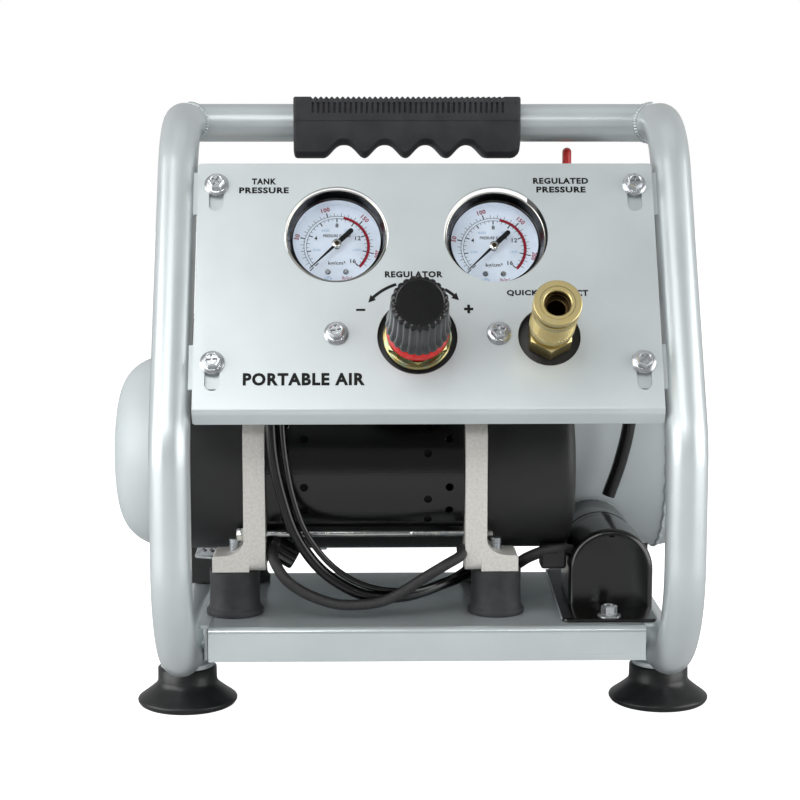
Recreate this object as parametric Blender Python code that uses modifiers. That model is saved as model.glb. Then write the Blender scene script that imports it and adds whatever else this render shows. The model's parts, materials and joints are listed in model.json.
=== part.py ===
"""Hotdog air compressor: a one-gallon horizontal tank and a twin-cylinder oil-free pump
in a tubular frame, with a leaning control panel.  Metres, +Z up, +Y away from the panel.
Pieces are placed from the floor point midway between the side hoops; at the end the origin
moves to the floor under the middle of the whole machine."""

import math

import bmesh
import bpy
from mathutils import Matrix, Vector

# ---------------------------------------------------------------- driving dimensions

GAP = 0.0003                    # clearance between neighbouring pieces

TUBE_RADIUS = 0.0111            # frame tube, 22 mm
HOOP_X = 0.1374                 # side hoops stand at -HOOP_X and +HOOP_X
HOOP_FRONT_Y = -0.146
HOOP_REAR_Y = 0.146
HOOP_LOW_Z = 0.0345             # bottom rail, tube centre
HOOP_TOP_Z = 0.335              # top rail and handle bar, tube centre
HOOP_KINK_Z = 0.1647            # the front leg leans back above this height
HOOP_REAR_Z = 0.205             # top of the rear upright
BEND_RADIUS = 0.050
LEAN = math.radians(27.0)       # lean of the control panel from the vertical

GRIP_X = (-0.0751, 0.0578)
GRIP_Z = (0.3142, 0.350)
GRIP_DEPTH = 0.034
SCALLOP_PITCH = 0.0241
SCALLOP_FIRST_X = -0.0457
SCALLOP_DEPTH = 0.0084

FOOT_Y = (-0.0613, 0.085)
FOOT_HEIGHT = 0.0219

PLATE_TOP_Z = 0.0615
PLATE_THICKNESS = 0.002
PLATE_Y = (-0.130, 0.008)

PANEL_OFFSET = 0.0082           # panel face in front of the plane of the leaning tubes
PANEL_HALF_WIDTH = 0.1253
PANEL_THICKNESS = 0.0015
PANEL_LOW_S = 0.0165            # distances up the slope, from the kink
PANEL_TOP_S = 0.161
GAUGE_X = (-0.0491, 0.0380)
GAUGE_S = 0.1183
GAUGE_HOLE_RADIUS = 0.02845
CONTROL_S = 0.0583
REGULATOR_X = -0.0057
COUPLER_X = 0.0651
CORNER_SCREW_X = 0.1150
CORNER_SCREW_S = (0.0434, 0.1478)
MIDDLE_SCREW_S = 0.0600

TANK_RADIUS = 0.0615
TANK_Y = 0.069
DRAIN_X = 0.0374
TANK_Z = 0.1275
TANK_X = (-0.191, 0.1825)
TANK_WALL = 0.002
DOME_DEPTH = 0.031

PUMP_Y = -0.053                 # motor shaft
PUMP_Z = 0.140
SHELL_RADIUS = 0.0495
END_PLATE_X = (-0.0952, 0.0277)
END_PLATE_THICKNESS = 0.012
COVER_RADIUS = 0.049
COVER_LENGTH = 0.0497
CRANK_OFFSET = 0.0218           # crank and cylinder, outboard of the end plate's middle
STROKE = 0.012
FAN_BLADES = 4
MOUNT_Y = (-0.094, -0.012)
MOUNT_OFFSET = 0.0118           # rubber mount, outboard of the end plate's middle
MOUNT_HEIGHT = 0.0252

CAPACITOR_X = 0.1047
CAPACITOR_Z = 0.0842
CAPACITOR_RADIUS = 0.022

SWITCH_LOW = Vector((0.068, -0.015, 0.238))
SWITCH_HIGH = Vector((0.112, 0.055, 0.296))
LEVER_X = 0.0885
LEVER_Y = 0.015

MIDDLE = Vector((-0.00425, -0.009832, 0.0))     # under the middle of the whole machine

# ---------------------------------------------------------------- scene and helpers

for old in list(bpy.data.objects):
    bpy.data.objects.remove(old, do_unlink=True)

PARTS = bpy.data.collections.new("hotdog_air_compressor")
CUTTERS = bpy.data.collections.new("cutters")
bpy.context.scene.collection.children.link(PARTS)
bpy.context.scene.collection.children.link(CUTTERS)

PANEL_TURN = (math.pi / 2 - LEAN, 0.0, 0.0)     # local +Z is the panel's outward normal
ALONG_X = (0.0, math.pi / 2, 0.0)
ALONG_Y = (-math.pi / 2, 0.0, 0.0)
UPRIGHT = (0.0, 0.0, 0.0)


def material(name, colour, roughness, metallic):
    """A Principled material."""
    made = bpy.data.materials.new(name)
    made.use_nodes = True
    shader = made.node_tree.nodes["Principled BSDF"]
    shader.inputs["Base Color"].default_value = (*colour, 1.0)
    shader.inputs["Roughness"].default_value = roughness
    shader.inputs["Metallic"].default_value = metallic
    return made


SILVER = material("silver_paint", (0.62, 0.65, 0.66), 0.38, 0.55)
RUBBER = material("black_rubber", (0.025, 0.025, 0.027), 0.75, 0.0)
BLACK = material("black_paint", (0.02, 0.02, 0.022), 0.45, 0.0)
PLASTIC = material("black_plastic", (0.022, 0.022, 0.024), 0.35, 0.0)
CASTING = material("cast_aluminium", (0.72, 0.72, 0.70), 0.55, 0.7)
ZINC = material("zinc", (0.66, 0.68, 0.70), 0.28, 1.0)
YELLOW_ZINC = material("yellow_zinc", (0.72, 0.60, 0.30), 0.30, 1.0)
BRASS = material("brass", (0.78, 0.60, 0.28), 0.25, 1.0)
CHROME = material("chrome", (0.80, 0.81, 0.82), 0.10, 1.0)
DIAL = material("dial_white", (0.86, 0.89, 0.91), 0.5, 0.0)
GLASS = material("clear_lens", (0.95, 0.97, 0.98), 0.05, 0.0)
RED = material("red_plastic", (0.62, 0.03, 0.03), 0.4, 0.0)
STEEL = material("steel", (0.45, 0.45, 0.46), 0.4, 0.9)
COPPER = material("copper", (0.72, 0.40, 0.26), 0.3, 1.0)


def add(name, data, finish, location=(0, 0, 0), rotation=UPRIGHT, collection=PARTS):
    """Link a mesh or curve as a named object."""
    made = bpy.data.objects.new(name, data)
    collection.objects.link(made)
    made.location = location
    made.rotation_euler = rotation
    if finish is not None:
        data.materials.append(finish)
    if collection is CUTTERS:
        made.hide_render = True
        made.display_type = "WIRE"
    return made


def primitive(name, build, finish, location, rotation, collection):
    """An object from one bmesh primitive."""
    mesh = bpy.data.meshes.new(name)
    shape = bmesh.new()
    build(shape)
    shape.to_mesh(mesh)
    shape.free()
    return add(name, mesh, finish, location, rotation, collection)


def box(name, size, location, finish=None, rotation=UPRIGHT, collection=PARTS):
    """A box of the given size about its centre."""
    def build(shape):
        bmesh.ops.create_cube(shape, size=1.0, matrix=Matrix.Diagonal((*size, 1.0)))
    return primitive(name, build, finish, location, rotation, collection)


def span_box(name, low, high, finish=None, collection=PARTS):
    """A box between two corners."""
    low = Vector(low)
    high = Vector(high)
    return box(name, high - low, (low + high) / 2, finish, UPRIGHT, collection)


def cylinder(name, radius, length, location, finish=None, rotation=UPRIGHT, sides=24,
             collection=PARTS):
    """A cylinder along its local Z, about its centre."""
    def build(shape):
        bmesh.ops.create_cone(shape, cap_ends=True, segments=sides, radius1=radius,
                              radius2=radius, depth=length)
    made = primitive(name, build, finish, location, rotation, collection)
    smooth(made)
    return made


def smooth(thing):
    """Round pieces are shaded smooth, with sharp edges kept."""
    thing.data.shade_smooth()
    thing.data.set_sharp_from_angle(angle=math.radians(35))


def turned(name, profile, finish, location=(0, 0, 0), rotation=UPRIGHT, sides=24, closed=False,
           collection=PARTS):
    """A turned piece: (radius, height) points about the local Z, outer side top to bottom."""
    mesh = bpy.data.meshes.new(name)
    points = [(radius, 0.0, height) for radius, height in profile]
    edges = [(i, i + 1) for i in range(len(points) - 1)]
    if closed:
        edges.append((len(points) - 1, 0))
    mesh.from_pydata(points, edges, [])
    made = add(name, mesh, finish, location, rotation, collection)
    spin = made.modifiers.new("turn", "SCREW")
    spin.axis = "Z"
    spin.steps = sides
    spin.render_steps = sides
    spin.use_merge_vertices = True
    spin.merge_threshold = 0.00001
    spin.use_smooth_shade = True
    spin.use_normal_calculate = False
    return made


def solid(thing):
    """The evaluated object as a plain mesh object, with its loose caps welded."""
    graph = bpy.context.evaluated_depsgraph_get()
    mesh = bpy.data.meshes.new_from_object(thing.evaluated_get(graph))
    shape = bmesh.new()
    shape.from_mesh(mesh)
    bmesh.ops.remove_doubles(shape, verts=shape.verts, dist=0.000005)
    shape.to_mesh(mesh)
    shape.free()
    name = thing.name
    place = thing.matrix_world.copy()
    collection = thing.users_collection[0]
    bpy.data.objects.remove(thing, do_unlink=True)
    made = bpy.data.objects.new(name, mesh)
    collection.objects.link(made)
    made.matrix_world = place
    if collection is CUTTERS:
        made.hide_render = True
        made.display_type = "WIRE"
    return made


def prism(name, outline, length, finish, location, rotation, collection=PARTS):
    """A flat outline, extruded to the length about its own plane."""
    data = bpy.data.curves.new(name, "CURVE")
    data.dimensions = "2D"
    data.fill_mode = "BOTH"
    data.extrude = length / 2
    line = data.splines.new("POLY")
    line.points.add(len(outline) - 1)
    for point, (x, y) in zip(line.points, outline):
        point.co = (x, y, 0.0, 1.0)
    line.use_cyclic_u = True
    made = add(name, data, finish, location, rotation, collection)
    bpy.context.view_layer.update()
    return solid(made)


def pipe(name, points, radius, finish, resolution=2, collection=PARTS):
    """A round bar or hose along a polyline."""
    data = bpy.data.curves.new(name, "CURVE")
    data.dimensions = "3D"
    data.bevel_depth = radius
    data.bevel_resolution = resolution
    data.use_fill_caps = True
    line = data.splines.new("POLY")
    line.points.add(len(points) - 1)
    for target, point in zip(line.points, points):
        target.co = (*point, 1.0)
    return add(name, data, finish, (0, 0, 0), UPRIGHT, collection)


def boolean(thing, other, operation):
    """One exact Boolean, kept on the object."""
    change = thing.modifiers.new(operation.lower(), "BOOLEAN")
    change.operation = operation
    change.solver = "EXACT"
    change.object = other


def cut(thing, cutter):
    boolean(thing, cutter, "DIFFERENCE")


def join(thing, other):
    boolean(thing, other, "UNION")


def rounded_path(corners, radius, steps):
    """A polyline whose inner corners become arcs of the given radius."""
    corners = [Vector(corner) for corner in corners]
    path = [corners[0]]
    for before, corner, after in zip(corners, corners[1:], corners[2:]):
        inward = (before - corner).normalized()
        outward = (after - corner).normalized()
        turn = math.pi - inward.angle(outward)
        reach = radius * math.tan(turn / 2)
        middle = (inward + outward).normalized()
        centre = corner + middle * math.hypot(reach, radius)
        start = corner + inward * reach - centre
        end = corner + outward * reach - centre
        count = max(2, round(steps * turn / (math.pi / 2)))
        for i in range(count + 1):
            share = i / count
            weight_a = math.sin((1 - share) * turn) / math.sin(turn)
            weight_b = math.sin(share * turn) / math.sin(turn)
            path.append(centre + start * weight_a + end * weight_b)
    path.append(corners[-1])
    return path


PANEL_UP = Vector((0.0, math.sin(LEAN), math.cos(LEAN)))
PANEL_OUT = Vector((0.0, -math.cos(LEAN), math.sin(LEAN)))
PANEL_ORIGIN = Vector((0.0, HOOP_FRONT_Y, HOOP_KINK_Z)) + PANEL_OUT * PANEL_OFFSET


def on_panel(x, slope, height=0.0):
    """World place of a point on the panel: across, up the slope, out of the face."""
    return PANEL_ORIGIN + Vector((x, 0, 0)) + PANEL_UP * slope + PANEL_OUT * height


# ---------------------------------------------------------------- frame

def hoop(side, name):
    """One bent side tube, with its foot discs and the two panel tabs welded on."""
    lean_run = (HOOP_TOP_Z - HOOP_KINK_Z) * math.tan(LEAN)
    corners = [
        (side * HOOP_X, 0.0165, HOOP_TOP_Z),
        (side * HOOP_X, HOOP_FRONT_Y + lean_run, HOOP_TOP_Z),
        (side * HOOP_X, HOOP_FRONT_Y, HOOP_KINK_Z),
        (side * HOOP_X, HOOP_FRONT_Y, HOOP_LOW_Z),
        (side * HOOP_X, HOOP_REAR_Y, HOOP_LOW_Z),
        (side * HOOP_X, HOOP_REAR_Y, HOOP_REAR_Z),
    ]
    made = solid(pipe(name, rounded_path(corners, BEND_RADIUS, 6), TUBE_RADIUS, SILVER, 4))
    smooth(made)
    for index, y in enumerate(FOOT_Y):
        disc = cylinder(f"{name}_foot_disc_{index}", 0.0155, 0.003,
                        (side * HOOP_X, y, FOOT_HEIGHT + GAP + 0.0015), sides=16,
                        collection=CUTTERS)
        join(made, disc)
    tab_x = (0.104, HOOP_X - 0.006)
    tab_height = -(PANEL_THICKNESS + GAP + 0.001)
    for index, slope in enumerate((0.0420, 0.1440)):
        middle = side * sum(tab_x) / 2
        tab = box(f"{name}_tab_{index}", (tab_x[1] - tab_x[0], 0.026, 0.002),
                  on_panel(middle, slope, tab_height), None, PANEL_TURN, CUTTERS)
        join(made, tab)
        hole = cylinder(f"{name}_tab_hole_{index}", 0.0029, 0.008,
                        on_panel(side * CORNER_SCREW_X, CORNER_SCREW_S[index], tab_height),
                        None, PANEL_TURN, 12, CUTTERS)
        cut(made, hole)
    return made


def handle_bar():
    """The cross bar, coped to the top rails."""
    made = cylinder("handle_bar", TUBE_RADIUS, 2 * (HOOP_X - 0.004), (0, 0, HOOP_TOP_Z),
                    SILVER, ALONG_X, 16)
    for side in (-1, 1):
        cope = cylinder(f"handle_cope_{side + 1}", TUBE_RADIUS + 2 * GAP, 0.08,
                        (side * HOOP_X, 0, HOOP_TOP_Z), None, ALONG_Y, 16, CUTTERS)
        cut(made, cope)


def scallop(centre, radius, half_angle, steps):
    """Points of one finger scallop, left to right."""
    for i in range(steps + 1):
        angle = half_angle * (1 - 2 * i / steps)
        yield (centre - radius * math.sin(angle), radius * math.cos(angle))


def handle_grip():
    """The moulded grip: a flat-topped sleeve with four finger scallops below."""
    half = 0.0105
    radius = (half * half + SCALLOP_DEPTH * SCALLOP_DEPTH) / (2 * SCALLOP_DEPTH)
    half_angle = math.asin(min(1.0, half / radius))
    base = GRIP_Z[0] + SCALLOP_DEPTH - radius
    outline = [(GRIP_X[0], GRIP_Z[0])]
    for i in range(4):
        centre = SCALLOP_FIRST_X + i * SCALLOP_PITCH
        outline += [(x, base + z) for x, z in scallop(centre, radius, half_angle, 6)]
    outline += [(GRIP_X[1], GRIP_Z[0]), (GRIP_X[1], GRIP_Z[1]), (GRIP_X[0], GRIP_Z[1])]
    made = prism("handle_grip", outline, GRIP_DEPTH, RUBBER, (0, 0, 0),
                 (math.pi / 2, 0, 0))
    bore = cylinder("grip_bore", TUBE_RADIUS + GAP, 0.2, (0, 0, HOOP_TOP_Z), None, ALONG_X, 16,
                    CUTTERS)
    cut(made, bore)


def foot(name, side, y):
    """A suction-style rubber foot."""
    profile = [(0, FOOT_HEIGHT), (0.0168, FOOT_HEIGHT), (0.0174, 0.0105), (0.0205, 0.0078),
               (0.0282, 0.0050), (0.0288, 0.0030), (0.0272, 0.0), (0, 0)]
    turned(name, profile, RUBBER, (side * HOOP_X, y, 0), UPRIGHT, 16)


def base_plate():
    """The folded pump tray, with weld tabs down to the bottom rails."""
    low_z = 0.0425
    made = span_box("base_plate", (-0.1258, PLATE_Y[0], PLATE_TOP_Z - PLATE_THICKNESS),
                    (0.1258, PLATE_Y[1], PLATE_TOP_Z), SILVER)
    front = span_box("plate_front", (-0.1195, PLATE_Y[0], low_z),
                     (0.1195, PLATE_Y[0] + PLATE_THICKNESS, PLATE_TOP_Z - 0.001),
                     collection=CUTTERS)
    back = span_box("plate_back", (-0.1195, PLATE_Y[1] - PLATE_THICKNESS, low_z),
                    (0.1195, PLATE_Y[1], PLATE_TOP_Z - 0.001), collection=CUTTERS)
    join(made, front)
    join(made, back)
    for side in (-1, 1):
        ends = sorted((side * 0.1238, side * 0.1258))
        tab = span_box(f"plate_tab_{side + 1}", (ends[0], -0.085, 0.031),
                       (ends[1], -0.020, PLATE_TOP_Z - 0.001), collection=CUTTERS)
        join(made, tab)


# ---------------------------------------------------------------- control panel

def slot_cutter(name, x, low, high, half_width):
    """A slot with round ends, up the slope of the panel."""
    outline = []
    for i in range(7):
        angle = math.pi * i / 6
        outline.append((half_width * math.cos(angle), high - half_width
                        + half_width * math.sin(angle)))
    for i in range(7):
        angle = math.pi + math.pi * i / 6
        outline.append((half_width * math.cos(angle), low + half_width
                        + half_width * math.sin(angle)))
    return prism(name, outline, 0.01, None, on_panel(x, 0.0), PANEL_TURN, CUTTERS)


def control_panel():
    """The leaning sheet panel, with a folded lip along its lower edge."""
    lip = 0.0075
    lip_turn = math.radians(60)
    thin = PANEL_THICKNESS
    lip_out = (PANEL_LOW_S - lip * math.cos(lip_turn), -lip * math.sin(lip_turn))
    lip_in = (lip_out[0] + thin * math.sin(lip_turn), lip_out[1] - thin * math.cos(lip_turn))
    outline = [(PANEL_TOP_S, 0), (PANEL_TOP_S, -thin),
               (PANEL_LOW_S + thin * math.tan(lip_turn / 2), -thin), lip_in, lip_out,
               (PANEL_LOW_S, 0)]
    sheet = Matrix((PANEL_UP, PANEL_OUT, (1, 0, 0))).transposed().to_euler()
    made = prism("control_panel", outline, 2 * PANEL_HALF_WIDTH, SILVER, PANEL_ORIGIN, sheet)
    holes = [(x, GAUGE_S, GAUGE_HOLE_RADIUS) for x in GAUGE_X]
    holes += [(REGULATOR_X, CONTROL_S, 0.0215), (COUPLER_X, CONTROL_S, 0.0168)]
    holes += [(x, MIDDLE_SCREW_S, 0.0029) for x in GAUGE_X]
    for index, (x, slope, radius) in enumerate(holes):
        sides = 12 if radius < 0.01 else 24
        hole = cylinder(f"panel_hole_{index}", radius, 0.01, on_panel(x, slope), None,
                        PANEL_TURN, sides, CUTTERS)
        cut(made, hole)
    for side in (-1, 1):
        for index, screw in enumerate(CORNER_SCREW_S):
            slot = slot_cutter(f"panel_slot_{side + 1}_{index}", side * CORNER_SCREW_X,
                               screw - 0.0157, screw + 0.0040, 0.0040)
            cut(made, slot)


def panel_screw(name, x, slope):
    """A hex flange screw: flange, head and shank."""
    profile = [(0, 0.0062), (0.0040, 0.0062), (0.0044, 0.0056), (0.0044, 0.0018),
               (0.0065, 0.0010), (0.0065, GAP), (0.0024, GAP), (0.0024, -0.0085), (0, -0.0085)]
    turned(name, profile, ZINC, on_panel(x, slope), PANEL_TURN, 12)


def gauge(name, x, recess):
    """A two-inch gauge: case with bezel and stem, dial, needle and lens."""
    centre = on_panel(x, GAUGE_S, -recess)
    stem_end = recess - 0.0452
    case = [(0, -0.0165), (0.0256, -0.0165), (0.0256, -0.0068), (0.0245, -0.0068), (0.0262, 0),
            (0.0272, 0), (0.0272, -0.026), (0.0255, -0.028), (0.0056, -0.028),
            (0.0056, stem_end), (0, stem_end)]
    turned(f"{name}_case", case, CHROME, centre, PANEL_TURN, 20)
    dial = [(0.0018, -0.0148), (0.0252, -0.0148), (0.0252, -0.0158), (0.0018, -0.0158)]
    turned(f"{name}_dial", dial, DIAL, centre, PANEL_TURN, 20, closed=True)
    hub = [(0, -0.0096), (0.0026, -0.0096), (0.0026, -0.0120), (0.0012, -0.0122),
           (0.0012, -0.0160), (0, -0.0160)]
    needle = turned(f"{name}_needle", hub, BLACK, centre, PANEL_TURN, 12)
    zero = math.radians(225)
    direction = Vector((math.cos(zero), math.sin(zero), 0.0))
    turn = Matrix.Rotation(math.pi / 2 - LEAN, 3, "X")
    blade_centre = centre + turn @ (direction * 0.0046 + Vector((0, 0, -0.0110)))
    blade_turn = (turn @ Matrix.Rotation(zero, 3, "Z")).to_euler()
    blade = box(f"{name}_needle_blade", (0.0338, 0.0016, 0.0008), blade_centre, None,
                blade_turn, CUTTERS)
    join(needle, blade)
    lens = [(0, -0.0070), (0.0253, -0.0070), (0.0253, -0.0084), (0, -0.0084)]
    turned(f"{name}_lens", lens, GLASS, centre, PANEL_TURN, 20)


def regulator():
    """Body, panel nut, red ring, spindle and knob, all on one axis."""
    axis = on_panel(REGULATOR_X, CONTROL_S)
    body = [(0, 0.0200), (0.0120, 0.0200), (0.0120, 0.0066), (0.0172, 0.0066),
            (0.0172, -0.020), (0.0150, -0.022), (0.0150, -0.0317), (0, -0.0317)]
    turned("regulator_body", body, BLACK, axis, PANEL_TURN)
    nut = cylinder("regulator_nut", 0.0205, 0.0065, on_panel(REGULATOR_X, CONTROL_S, 0.0003),
                   YELLOW_ZINC, PANEL_TURN, 6)
    bore = cylinder("nut_bore", 0.0176, 0.02, axis, None, PANEL_TURN, 24, CUTTERS)
    cut(nut, bore)
    ring = [(0.0124, 0.0198), (0.0158, 0.0198), (0.0158, 0.0130), (0.0168, 0.0125),
            (0.0168, 0.0070), (0.0124, 0.0070)]
    turned("regulator_ring", ring, RED, axis, PANEL_TURN, closed=True)
    spindle = [(0, 0.0420), (0.0040, 0.0420), (0.0040, 0.0203), (0, 0.0203)]
    turned("regulator_spindle", spindle, STEEL, axis, PANEL_TURN, 12)
    knob = [(0, 0.0490), (0.0138, 0.0490), (0.0148, 0.0480), (0.0151, 0.0300),
            (0.0158, 0.0235), (0.0173, 0.0200), (0.0173, 0.0165), (0.0163, 0.0165),
            (0.0163, 0.0238), (0.0043, 0.0238), (0.0043, 0.0454), (0, 0.0454)]
    turned("regulator_knob", knob, PLASTIC, axis, PANEL_TURN, 20)


def coupler():
    """A quarter-inch quick coupler: body with plug bore, and the sliding sleeve."""
    axis = on_panel(COUPLER_X, CONTROL_S)
    body = [(0, 0.0150), (0.0047, 0.0150), (0.0047, 0.0440), (0.0070, 0.0465),
            (0.0092, 0.0465), (0.0092, 0.0095), (0.0105, 0.0095), (0.0105, -0.0317),
            (0, -0.0317)]
    made = turned("coupler_body", body, BRASS, axis, PANEL_TURN, 20)
    hexagon = cylinder("coupler_hexagon", 0.0127, 0.0130,
                       on_panel(COUPLER_X, CONTROL_S, 0.0030), None, PANEL_TURN, 6, CUTTERS)
    join(made, hexagon)
    sleeve = [(0.0096, 0.0475), (0.0124, 0.0475), (0.0132, 0.0465), (0.0132, 0.0425),
              (0.0114, 0.0415), (0.0114, 0.0395), (0.0122, 0.0385), (0.0122, 0.0175),
              (0.0115, 0.0165), (0.0096, 0.0165)]
    turned("coupler_sleeve", sleeve, BRASS, axis, PANEL_TURN, 20, closed=True)


def panel_block(name, x_range, slope_range, height_range, finish=None, collection=PARTS):
    """A box in the panel's own axes."""
    size = (x_range[1] - x_range[0], slope_range[1] - slope_range[0],
            height_range[1] - height_range[0])
    centre = on_panel(sum(x_range) / 2, sum(slope_range) / 2, sum(height_range) / 2)
    return box(name, size, centre, finish, PANEL_TURN, collection)


def air_manifold():
    """The drilled block behind the panel that feeds both gauges, regulator and coupler."""
    made = panel_block("air_manifold", (-0.0570, 0.0860), (GAUGE_S - 0.007, GAUGE_S + 0.007),
                       (-0.0595, -0.0455), CASTING)
    lower = panel_block("manifold_lower", (-0.0200, 0.0780),
                        (CONTROL_S - 0.007, CONTROL_S + 0.007), (-0.0460, -0.0320), None, CUTTERS)
    riser = panel_block("manifold_riser", (-0.0130, 0.0010),
                        (CONTROL_S - 0.006, GAUGE_S + 0.006), (-0.0590, -0.0400), None, CUTTERS)
    arm_z = on_panel(0, GAUGE_S, -0.0525).z
    arm = span_box("manifold_arm", (0.0730, -0.0560, arm_z - 0.006),
                   (0.0850, SWITCH_LOW.y - GAP, arm_z + 0.006), collection=CUTTERS)
    for other in (lower, riser, arm):
        join(made, other)


def pressure_switch():
    """The switch box on its tank riser, its lever, and the safety valve on its side."""
    made = span_box("pressure_switch", SWITCH_LOW, SWITCH_HIGH, PLASTIC)
    riser_y = 0.040
    riser_low = TANK_Z + math.sqrt(TANK_RADIUS ** 2 - (TANK_Y - riser_y - 0.009) ** 2) + GAP
    riser = cylinder("switch_riser", 0.0090, SWITCH_LOW.z + 0.004 - riser_low,
                     (0.090, riser_y, (SWITCH_LOW.z + 0.004 + riser_low) / 2), None, UPRIGHT,
                     12, CUTTERS)
    join(made, riser)
    slot = span_box("switch_lever_slot", (LEVER_X - 0.0034, LEVER_Y - 0.016, 0.277),
                    (LEVER_X + 0.0034, LEVER_Y + 0.016, 0.300), collection=CUTTERS)
    cut(made, slot)
    outline = [(-0.0055, -0.006), (0.0055, -0.006), (0.0050, 0.0290), (0.0032, 0.0335),
               (-0.0032, 0.0335), (-0.0050, 0.0290)]
    turn = (math.pi / 2, 0, math.pi / 2)
    prism("switch_lever", outline, 0.0054, RED, (LEVER_X, LEVER_Y, 0.287), turn)
    valve = [(0, 0.0230), (0.0030, 0.0230), (0.0030, 0.0180), (0.0060, 0.0160),
             (0.0060, 0.0070), (0.0075, 0.0060), (0.0075, 0.0), (0, 0)]
    valve_turn = (0, -math.pi / 2, 0)
    valve_place = Vector((SWITCH_LOW.x - GAP, 0.028, 0.262))
    turned("safety_valve", valve, BRASS, valve_place, valve_turn, 12)
    wire = [(0.0068, 0.0006), (0.0068, -0.0006), (0.0056, -0.0006), (0.0056, 0.0006)]
    turned("safety_ring", wire, STEEL, valve_place - Vector((0.0300, 0, 0)), UPRIGHT, 16,
           closed=True)


# ---------------------------------------------------------------- tank

def dome_profile(radius, depth, steps):
    """A dished end: (radius, distance from the seam), rim first, a flattened oval."""
    points = [(radius, 0.0)]
    for i in range(1, steps):
        angle = (math.pi / 2) * i / steps
        points.append((radius * math.cos(angle) ** 0.42, depth * math.sin(angle) ** 1.15))
    points.append((0.0, depth))
    return points


def tank_body(name, shrink, finish, collection):
    """The tank's outside, or its cavity when shrunk."""
    radius = TANK_RADIUS - shrink
    left_seam = TANK_X[0] + DOME_DEPTH
    right_seam = TANK_X[1] - DOME_DEPTH
    dome = dome_profile(radius, DOME_DEPTH - shrink, 5)
    profile = [(r, right_seam + along) for r, along in reversed(dome)]
    profile += [(r, left_seam - along) for r, along in dome]
    return turned(name, profile, finish, (0, TANK_Y, TANK_Z), ALONG_X, 24,
                  collection=collection)


def tank():
    """The shell, with its two saddle feet and its ports."""
    made = tank_body("tank_shell", 0.0, SILVER, PARTS)
    for side in (-1, 1):
        ends = sorted((side * 0.1280, side * 0.1460))
        saddle = span_box(f"tank_saddle_{side + 1}", (ends[0], TANK_Y - 0.026, 0.0462),
                          (ends[1], TANK_Y + 0.026, 0.0760), collection=CUTTERS)
        hollow = span_box(f"tank_saddle_hollow_{side + 1}", (ends[0] - 0.001, TANK_Y - 0.0235, 0.0487),
                          (ends[1] + 0.001, TANK_Y + 0.0235, 0.0800), collection=CUTTERS)
        keep = cylinder(f"tank_saddle_core_{side + 1}", TANK_RADIUS - 0.001, 0.1,
                        (side * 0.137, TANK_Y, TANK_Z), None, ALONG_X, 28, CUTTERS)
        cut(hollow, keep)
        cut(saddle, hollow)
        join(made, saddle)
    cavity = tank_body("tank_cavity", TANK_WALL, None, CUTTERS)
    cut(made, cavity)
    ports = [(-0.060, TANK_Y, TANK_Z + TANK_RADIUS), (DRAIN_X, TANK_Y, TANK_Z - TANK_RADIUS)]
    for index, place in enumerate(ports):
        port = cylinder(f"tank_port_{index}", 0.0040, 0.02, place, None, UPRIGHT, 12, CUTTERS)
        cut(made, port)


def drain_valve():
    """The petcock under the tank, and the key that opens it."""
    top = TANK_Z - TANK_RADIUS - GAP
    body = [(0, 0), (0.0065, 0), (0.0065, -0.007), (0.0050, -0.009), (0.0050, -0.016),
            (0, -0.016)]
    turned("drain_valve", body, BRASS, (DRAIN_X, TANK_Y, top), UPRIGHT, 12)
    key = [(0, 0), (0.0045, 0), (0.0045, -0.004), (0.0025, -0.005), (0.0025, -0.010),
           (0, -0.010)]
    made = turned("drain_key", key, ZINC, (DRAIN_X, TANK_Y, top - 0.016 - GAP), UPRIGHT, 12)
    wing = box("drain_wing", (0.018, 0.002, 0.006), (DRAIN_X, TANK_Y, top - 0.0225), None, UPRIGHT,
               CUTTERS)
    join(made, wing)


# ---------------------------------------------------------------- motor and pump

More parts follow.
